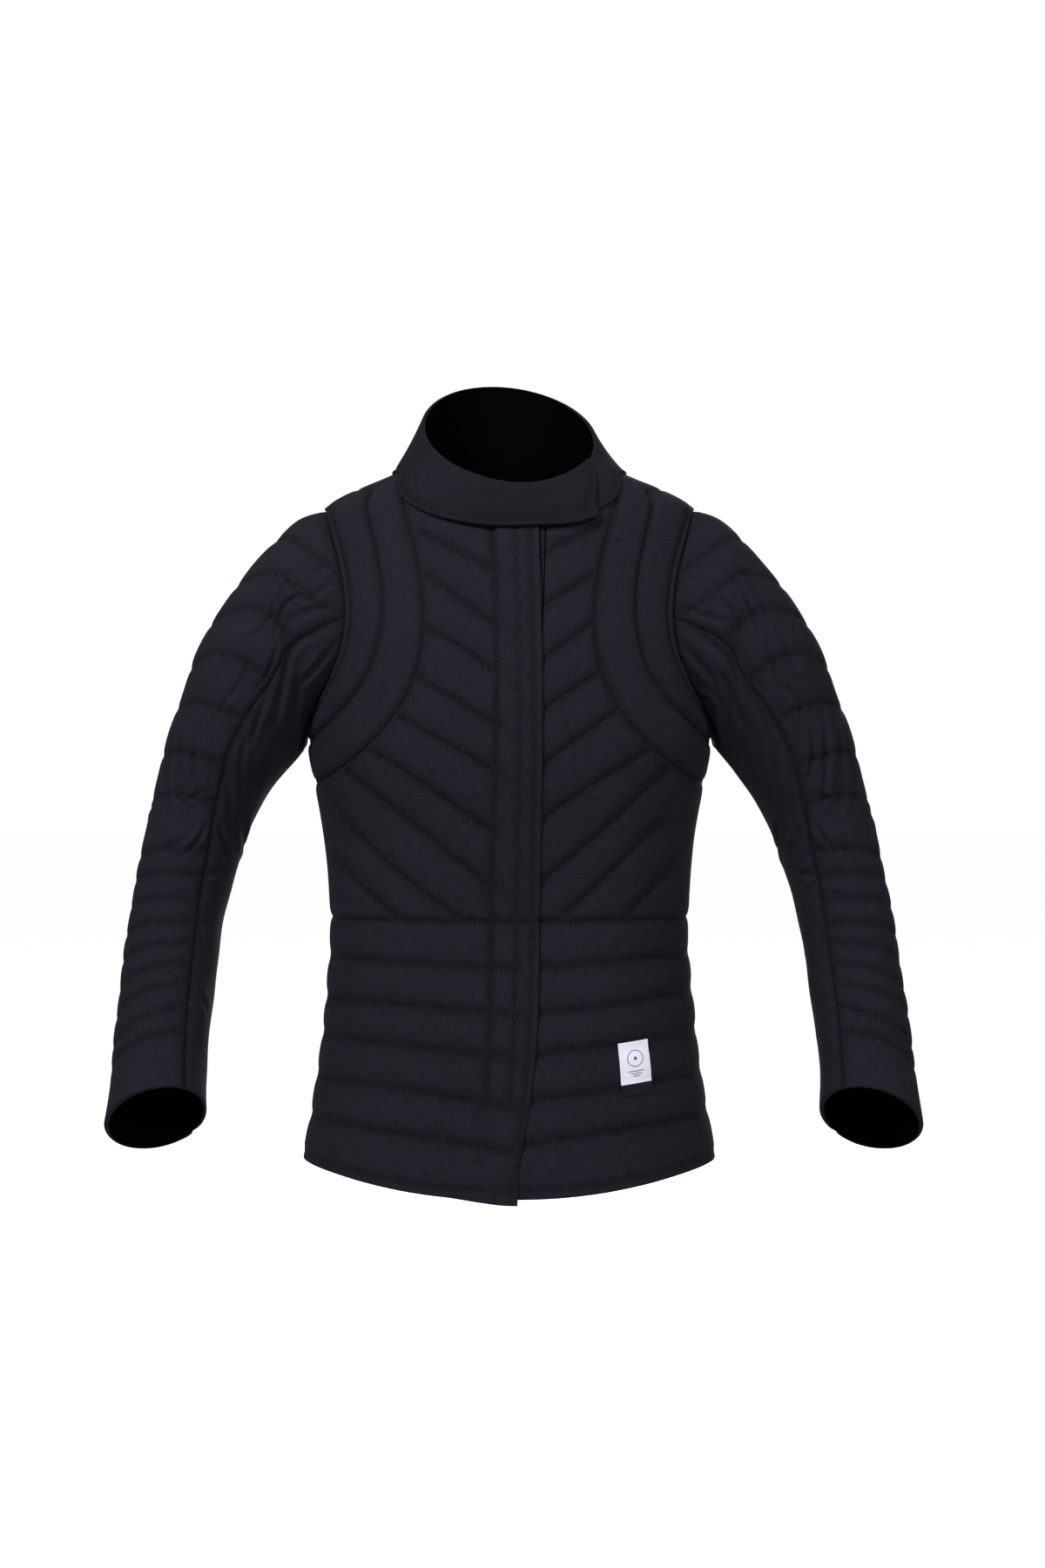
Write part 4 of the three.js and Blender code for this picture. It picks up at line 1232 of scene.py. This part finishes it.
# The collar: one band that laps over its own start and ends in a square tab.
collars = dict(rise=0.5, uneven=0.45, step=1.7, drop=5.5, cornerDrop=6.5, length=500.0, height=75.0,
               turned=11, stitchEnd=0.9885, stitchFoot=-0.42, stitchTop=0.985, round=1.4)
# Folds of the collar: along and up it at both ends, depth and width in mm.
collarFolds = [
    (0.865, 0.55, 0.935, 0.40, 0.8, 4.0), (0.80, 0.35, 0.86, 0.55, 0.6, 5.0),
    (0.70, 0.62, 0.78, 0.30, 0.8, 6.0), (0.28, 0.70, 0.36, 0.35, 0.7, 6.0),
    (0.50, 0.30, 0.58, 0.62, 0.6, 7.0),
]


def turnAtPolar(polar):
    whole = np.floor((polar + 180) / 360) * 360
    local = polar - whole
    sign, size = np.sign(local), np.abs(local)

    def isLow(middle):
        p = bodySurface(middle, neckZ(middle))
        return np.degrees(np.arctan2(p[..., 0], -p[..., 1])) < size

    return sign * halved(np.zeros_like(size), np.full_like(size, 180.0), isLow)


def collarSurface(polar, t):
    turn, angle = turnAtPolar(polar), np.radians(polar)
    rim = np.stack([
        collarRim["halfWidth"] * np.sin(angle),
        collarRim["y"] - collarRim["halfDepth"] * np.cos(angle),
        collarRim["z"] - collarRim["rise"] * np.cos(angle) - collarRim["roll"] * np.sin(angle),
    ], -1)
    return blend(bodySurface(turn, neckSeamZ(turn)), rim, t[..., None])


def collarDrop(polar):
    # the lower edge hangs below the seam at the front, most towards the tab's corner
    ahead = np.where(polar > 180, polar - 360, polar)
    dropped = collars["drop"] * ease(-np.abs(ahead), -68, -40)
    return dropped + collars["cornerDrop"] * ease(polar, 372, 402)


def collarPoint(polar, t, out):
    # t is 1 at the rim, 0 at the neck seam and -1 at the lower edge, which lies on the body
    turn, up = turnAtPolar(polar), np.maximum(t, 0)
    around = collarSurface(polar + 1, up) - collarSurface(polar - 1, up)
    rise = collarSurface(polar, up + 0.05) - collarSurface(polar, up)
    own = unit(np.cross(around, rise))
    normal = unit(blend(bodyNormal(turn, neckSeamZ(turn)), own, ease(up, -0.2, 0.35)[..., None]))
    point = collarSurface(polar, up) + normal * out[..., None]
    foot = bodyPoint(turn, neckZ(turn) - collarDrop(polar), out)
    return np.where((t < 0)[..., None], blend(point, foot, -np.minimum(t, 0)[..., None]), point)


def collarPlace(u, t):
    end = collarTurn["end"] + collarTurn["endSlant"] * np.maximum(t, 0)
    polar = blend(collarTurn["start"], end, u)
    lift = collarGap + collarLift * ease(polar, collarTurn["liftStart"], collarTurn["liftEnd"])
    return polar, lift


def collarAt(u, t, out=0.0):
    u, t = np.broadcast_arrays(np.asarray(u, float), np.asarray(t, float))
    polar, lift = collarPlace(u, t)
    return collarPoint(polar, t, lift + cloth["wall"] + out)


def collarLine(ends):
    return collarAt(*np.linspace(*np.array(ends), 12).T)


def collarPiece():
    us, heights = (spacing(collars[k], collars["step"]) for k in ("length", "height"))
    heights = heights * collars["height"]
    ts = np.interp(heights, [0, collars["turned"], collars["height"]], [-1, 0, 1])
    t, u = np.meshgrid(ts[::-1], us, indexing="ij")
    outer, inner = collarAt(u, t), collarAt(u, t, -cloth["wall"])
    normal = unit(outer - inner)
    line, up = np.linspace(0, 1, 260), np.linspace(-1, 1, 40)
    borders = (collarAt(line, -1.0), collarAt(line, 1.0), collarAt(0.0, up), collarAt(1.0, up))
    end, foot = collars["stitchEnd"], collars["stitchFoot"]
    sewnLines = (collarAt(np.linspace(0.0, end, 240), foot),
                 collarAt(end, np.linspace(foot, collars["stitchTop"], 30)))
    look = dict(rise=collars["rise"], uneven=collars["uneven"], seed=171,
                grooves=[groove(path, 0.35, 2.4, 0.22, 0.9) for path in sewnLines],
                creases=handCreases(collarFolds, collarLine),
                rounded=[(path, collars["round"]) for path in borders])
    widths = np.linalg.norm(np.diff(outer, axis=1), axis=-1)
    around = np.concatenate([np.zeros((len(ts), 1)), np.cumsum(widths, axis=1)], axis=1)
    uv = np.stack([around, np.broadcast_to(heights[::-1, None], around.shape)], -1)
    piece = clothPiece("collar", outer, normal, look, uv, "collar")
    settle(piece, ["collar"], outer)
    for path in sewnLines:
        sewn("collar", path, "collar")


collarPiece()
print("collar made")


def zipPiece():
    zs = np.linspace(zipPlace["top"], zipPlace["foot"], 170)
    far = leftEdgeX(zs) - zipPlace["sideGap"]
    x = blend(zipPlace["x"], far[:, None], np.linspace(0, 1, 13)[None])
    z = np.broadcast_to(zs[:, None], x.shape)
    places = np.stack([turnAtX(x, z), z], -1)
    base = bodyPoint(places[..., 0], z, np.full(z.shape, -zipPlace["sink"]))
    normal = bodyNormal(places[..., 0], z)
    look = dict(rise=0.0, uneven=0.05, seed=181, grooves=[])
    piece = clothPiece("zip", base, normal, look, bodyUv(places[..., 0], z), "tape", zipPlace["thickness"])
    settle(piece, ["zip"], base)


zipPiece()


def overSkirt(places, lift):
    # a flat trim lies on the quilted cloth, and bridges its channels
    turn, z = places[..., 0], places[..., 1]
    base = bodyPoint(turn, z, 0 * z)
    height, _ = clothHeight(base.reshape(-1, 3), looks["front_left_skirt"])
    height = np.maximum(height.reshape(z.shape), 0.4) + lift
    return base + bodyNormal(turn, z) * height[..., None], bodyNormal(turn, z)


def labelPiece(name, top, foot, corner, finish):
    vs, us = np.linspace(0, 1, 41), np.linspace(0, 1, 45)
    v, u = np.meshgrid(vs, us, indexing="ij")
    ahead = 1 - np.minimum(u / tabPlace["cornerShare"], 1)
    cut = corner * (1 - np.sqrt(1 - ahead**2))
    turn = blend(labelPlace["startTurn"], labelPlace["endTurn"], u)
    z = blend(top, foot + cut, v) + labelPlace["tilt"] * (u - 0.5)
    base, normal = overSkirt(np.stack([turn, z], -1), labelPlace["lift"] + labelPlace["thickness"])
    border = np.concatenate([base[0], base[:, -1], base[-1, ::-1], base[::-1, 0]])
    look = dict(rise=0.0, uneven=0.12, seed=191, grooves=[], rounded=[(border, 0.4)])
    uv = np.stack([(u - 0.5) * labelPlace["width"], (0.5 - v) * (top - foot)], -1)
    piece = clothPiece(name, base, normal, look, uv, finish, labelPlace["thickness"])
    settle(piece, [name], base)
    return base


def labelMaterial(look):
    # pale satin with a plain ring and three bars, a mark of no maker
    material, tree, shader = newMaterial("labelCloth")
    weave, grain = weaveNode(tree, 0.00035)
    parts = tree.nodes.new("ShaderNodeSeparateXYZ")
    tree.links.new(grain.outputs[0], parts.inputs[0])
    x, y = parts.outputs["X"], parts.outputs["Y"]

    def near(value, place, reach):
        gap = mathNode(tree, "SUBTRACT", value, place)
        return mathNode(tree, "LESS_THAN", mathNode(tree, "ABSOLUTE", gap), reach)

    lifted = mathNode(tree, "SUBTRACT", y, look["ringY"])
    squares = [mathNode(tree, "MULTIPLY", value, value) for value in (x, lifted)]
    radius = mathNode(tree, "SQRT", mathNode(tree, "ADD", *squares))
    dot = mathNode(tree, "LESS_THAN", radius, look["dot"])
    ink = mathNode(tree, "MAXIMUM", near(radius, look["ring"], look["line"]), dot)
    for barY, halfLength in look["bars"]:
        bar = mathNode(tree, "MULTIPLY", near(y, barY, look["line"]), near(x, 0.0, halfLength))
        ink = mathNode(tree, "MAXIMUM", ink, bar)
    soft = mathNode(tree, "MULTIPLY_ADD", weave.outputs["Shade"], 0.16, -0.04)
    tone = mathNode(tree, "MAXIMUM", mathNode(tree, "MULTIPLY", ink, 0.94), soft)
    colorBetween(tree, shader, tone, look["cloth"], look["inkColor"])
    bumpFrom(tree, shader, weave, 0.4, 0.0001)
    shader.inputs["Roughness"].default_value = 0.6
    return material


labelLook = dict(ringY=0.0035, ring=0.0072, line=0.00038, dot=0.0016,
                 bars=((-0.0078, 0.0078), (-0.0101, 0.0055), (-0.0122, 0.0034)),
                 cloth=(0.74, 0.73, 0.84), inkColor=(0.03, 0.03, 0.05))
finishes["label"] = labelMaterial(labelLook)
finishes["paleThread"] = plainMaterial("paleThread", (0.62, 0.61, 0.70), 0.5, 0.3, 900, 0.2)
labelBase = labelPiece("label", labelPlace["top"], labelPlace["foot"], 0, "label")
labelPiece("label_tab", labelPlace["foot"] - tabPlace["gap"], tabPlace["foot"], tabPlace["corner"],
           "tab")
print("zip and label made")


# Stitches: short threads along every sewn line, over a thin near-black cord sunk in its groove, which paints
# the seam's shade.
thread = dict(pitch=3.6, length=2.4, radius=0.34, lift=0.12)
ditch = dict(pitch=3.6, radius=0.5, lift=-0.22)


def growTree(name, sizes, build):
    # a tree that follows a chain of edges, with its sizes and its finish as inputs
    tree = bpy.data.node_groups.new(name, "GeometryNodeTree")
    face = tree.interface
    face.new_socket(name="Geometry", in_out="INPUT", socket_type="NodeSocketGeometry")
    for label, value in sizes.items():
        socket = face.new_socket(name=label, in_out="INPUT", socket_type="NodeSocketFloat")
        socket.default_value = value
    face.new_socket(name="Finish", in_out="INPUT", socket_type="NodeSocketMaterial")
    face.new_socket(name="Geometry", in_out="OUTPUT", socket_type="NodeSocketGeometry")
    nodes, links = tree.nodes, tree.links
    start, end = nodes.new("NodeGroupInput"), nodes.new("NodeGroupOutput")
    curve = nodes.new("GeometryNodeMeshToCurve")
    links.new(start.outputs["Geometry"], curve.inputs[0])
    even = nodes.new("GeometryNodeResampleCurve")
    even.mode = "LENGTH"
    links.new(curve.outputs[0], even.inputs["Curve"])
    links.new(start.outputs["Pitch"], even.inputs["Length"])
    real = nodes.new("GeometryNodeRealizeInstances")
    links.new(build(tree, start.outputs, even.outputs[0]), real.inputs[0])
    finish = nodes.new("GeometryNodeSetMaterial")
    links.new(real.outputs[0], finish.inputs["Geometry"])
    links.new(start.outputs["Finish"], finish.inputs["Material"])
    links.new(finish.outputs[0], end.inputs[0])
    return tree


def placeAlong(tree, curve, shape):
    tangent = tree.nodes.new("GeometryNodeInputTangent")
    align = tree.nodes.new("FunctionNodeAlignRotationToVector")
    align.axis = "Z"
    tree.links.new(tangent.outputs[0], align.inputs["Vector"])
    place = tree.nodes.new("GeometryNodeInstanceOnPoints")
    tree.links.new(curve, place.inputs["Points"])
    tree.links.new(shape, place.inputs["Instance"])
    tree.links.new(align.outputs[0], place.inputs["Rotation"])
    return place.outputs[0]


def sizeNode(tree, *sources):
    size = tree.nodes.new("ShaderNodeCombineXYZ")
    for socket, source in zip(size.inputs, sources):
        tree.links.new(source, socket)
    return size.outputs[0]


def buildStitch(tree, inputs, curve):
    ball = tree.nodes.new("GeometryNodeMeshUVSphere")
    ball.inputs["Segments"].default_value = 5
    ball.inputs["Rings"].default_value = 3
    ball.inputs["Radius"].default_value = 1.0
    half = mathNode(tree, "MULTIPLY", inputs["Length"], 0.5)
    long = tree.nodes.new("GeometryNodeTransform")
    tree.links.new(ball.outputs["Mesh"], long.inputs["Geometry"])
    tree.links.new(sizeNode(tree, inputs["Radius"], inputs["Radius"], half), long.inputs["Scale"])
    return placeAlong(tree, curve, long.outputs[0])


# a thin tube of the near-black finish: painted shade along the seams
def buildShadeCord(tree, inputs, curve):
    ring = tree.nodes.new("GeometryNodeCurvePrimitiveCircle")
    ring.inputs["Resolution"].default_value = 4
    tree.links.new(inputs["Radius"], ring.inputs["Radius"])
    tube = tree.nodes.new("GeometryNodeCurveToMesh")
    tube.inputs["Fill Caps"].default_value = True
    tree.links.new(curve, tube.inputs["Curve"])
    tree.links.new(ring.outputs[0], tube.inputs["Profile Curve"])
    return tube.outputs[0]


def buildTooth(tree, inputs, curve):
    block = tree.nodes.new("GeometryNodeMeshCube")
    size = sizeNode(tree, inputs["Width"], inputs["Height"], inputs["Thick"])
    tree.links.new(size, block.inputs["Size"])
    return placeAlong(tree, curve, block.outputs["Mesh"])


stitches = growTree("stitches", {"Pitch": 0.0036, "Length": 0.0024, "Radius": 0.0003}, buildStitch)
shadeCords = growTree("shadeCords", {"Pitch": 0.0036, "Radius": 0.0005}, buildShadeCord)
toothSizes = {"Pitch": 0.0017, "Width": 0.003, "Thick": 0.001, "Height": 0.0008}
teethRow = growTree("zipTeeth", toothSizes, buildTooth)


def grownMesh(name, guide, tree, values):
    # runs a node tree on a guide object and keeps its result as a plain mesh
    modifier = guide.modifiers.new("grow", "NODES")
    modifier.node_group = tree
    for item in tree.interface.items_tree:
        if item.item_type == "SOCKET" and item.in_out == "INPUT" and item.name in values:
            modifier[item.identifier] = values[item.name]
    graph = bpy.context.evaluated_depsgraph_get()
    mesh = bpy.data.meshes.new_from_object(guide.evaluated_get(graph))
    mesh.name = name
    guide.modifiers.remove(modifier)
    bpy.data.objects.remove(guide)
    mesh.shade_smooth()
    return linked(name, mesh)


# How a path is laid on the cloth: the step between its points, and the farthest it may lie.
laying = dict(step=1.6, reach=9)
trees = {}


def onCloth(pieceName, path, lift):
    # lays a path on the outside of its piece
    if pieceName not in trees:
        source = pieces[pieceName]
        trees[pieceName] = BVHTree.FromPolygons(source["points"].tolist(), source["faces"].tolist())
    laid = []
    for a, b in zip(path[:-1], path[1:]):
        count = max(int(np.linalg.norm(b - a) / laying["step"]), 1)
        laid += [blend(a, b, k / count) for k in range(count)]
    laid.append(path[-1])
    result = []
    for point in laid:
        spot, way, index, distance = trees[pieceName].find_nearest(Vector(point))
        if distance < laying["reach"]:
            outward = pieces[pieceName]["normal"][pieces[pieceName]["faces"][index][0]]
            result.append(np.array(spot) + outward * lift)
    return np.array(result)


def grow(name, paths, tree, finish, values):
    # stitches, cords of painted shade or teeth along every path, on a chain of edges
    points, edges = [], []
    for path in paths:
        first = len(points)
        points += (path * mm).tolist()
        edges += [(k, k + 1) for k in range(first, len(points) - 1)]
    mesh = bpy.data.meshes.new(name + "Guide")
    mesh.from_pydata(points, edges, [])
    inputs = {label.capitalize(): value * mm for label, value in values.items()}
    piece = grownMesh(name, linked(name + "Guide", mesh), tree, {**inputs, "Finish": finishes[finish]})
    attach(piece, "root")
    print(f"  {name}: {sum(len(f.vertices) - 2 for f in piece.data.polygons)} triangles")


def laidPaths(lines, lift):
    laid = [onCloth(line["piece"], line["path"], lift) for line in lines if len(line["path"]) > 1]
    return [path for path in laid if len(path) > 1]


for group in ("front", "back", "sleeves", "collar"):
    lines = [line for line in stitched if line["group"] == group]
    grow("stitches_" + group, laidPaths(lines, thread["lift"]), stitches, "thread", thread)
    grow("ditches_" + group, laidPaths(lines, ditch["lift"]), shadeCords, "ditch", ditch)
rows, columns = labelBase.shape[:2]
inset = 3
ringRows = labelBase[inset:rows - inset, inset:columns - inset]
labelRing = np.concatenate([ringRows[0], ringRows[1:, -1], ringRows[-1, -2::-1], ringRows[-2::-1, 0]])
labelThread = dict(pitch=1.9, length=1.3, radius=0.2, lift=0.05)
labelPaths = laidPaths([dict(piece="label", path=labelRing)], labelThread["lift"])
grow("stitches_label", labelPaths, stitches, "paleThread", labelThread)
print("stitches made")

# The zip's teeth, which show at the neck beside the lap.
teeth = dict(pitch=2.3, width=3.4, thick=1.0, height=0.9, lift=0.15, offset=3.0)
toothZ = np.linspace(zipPlace["top"] - 1, zipPlace["foot"] + 3, 330)
toothTurn = turnAtX(leftEdgeX(toothZ) - teeth["offset"], toothZ)
toothPath = bodyPoint(toothTurn, toothZ, np.full(330, teeth["lift"]))
grow("zip_teeth", [toothPath], teethRow, "teeth", teeth)
print("zip teeth made")


# The stage: a plain pale floor, soft studio light and the camera.
stage = dict(floorZ=-0.95, floorSize=60.0, worldStrength=0.24, floorGlow=0.86, aim=(0, 0, -0.3))
# Each lamp's place, size and power.
lamps = {
    "keyLight": ((-1.35, -1.8, 1.5), 0.6, 70),
    "fillLight": ((1.3, -2.1, 1.2), 1.3, 44),
    "backLight": ((0.4, 2.5, 0.2), 1.8, 40),
}
view = dict(place=(0.0123, -2.4, -0.289), lens=58.5, sensor=36)
white = (1, 1, 1, 1)


def makeFloor():
    half = stage["floorSize"] / 2
    corners = [(-half, -half), (half, -half), (half, half), (-half, half)]
    mesh = bpy.data.meshes.new("floor")
    mesh.from_pydata([(x, y, stage["floorZ"]) for x, y in corners], [], [(0, 1, 2, 3)])
    paint = plainMaterial("floorPaint", (0.5, 0.5, 0.5), 0.75, 0.1, 3, 0.01)
    tree = paint.node_tree
    shader = tree.nodes["Principled BSDF"]
    shader.inputs["Emission Color"].default_value = white
    seenBy = tree.nodes.new("ShaderNodeLightPath")
    glow = mathNode(tree, "MULTIPLY", seenBy.outputs["Is Camera Ray"], stage["floorGlow"])
    tree.links.new(glow, shader.inputs["Emission Strength"])
    mesh.materials.append(paint)
    linked("floor", mesh)


def makeWorld():
    world = bpy.data.worlds.new("studio")
    world.use_nodes = True
    bpy.context.scene.world = world
    tree = world.node_tree
    soft, seen = tree.nodes["Background"], tree.nodes.new("ShaderNodeBackground")
    for shade, strength in ((soft, stage["worldStrength"]), (seen, 1.0)):
        shade.inputs["Color"].default_value = white
        shade.inputs["Strength"].default_value = strength
    path = tree.nodes.new("ShaderNodeLightPath")
    mix = tree.nodes.new("ShaderNodeMixShader")
    for k, source in enumerate((path.outputs["Is Camera Ray"], soft.outputs[0], seen.outputs[0])):
        tree.links.new(source, mix.inputs[k])
    tree.links.new(mix.outputs[0], tree.nodes["World Output"].inputs["Surface"])


def makeLamp(name, place, size, power):
    light = bpy.data.lights.new(name, "AREA")
    light.shape = "DISK"
    light.size = size
    light.energy = power
    lamp = linked(name, light)
    lamp.location = place
    way = Vector(stage["aim"]) - Vector(place)
    lamp.rotation_euler = way.to_track_quat("-Z", "Y").to_euler()


def makeCamera():
    camera = bpy.data.cameras.new("camera")
    camera.lens = view["lens"]
    camera.sensor_width = view["sensor"]
    eye = linked("camera", camera)
    eye.location = view["place"]
    eye.rotation_euler = (math.radians(90), 0, 0)
    bpy.context.scene.camera = eye
    bpy.context.scene.view_settings.view_transform = "Standard"


makeFloor()
makeWorld()
for name, (place, size, power) in lamps.items():
    makeLamp(name, place, size, power)
makeCamera()
print("stage made")
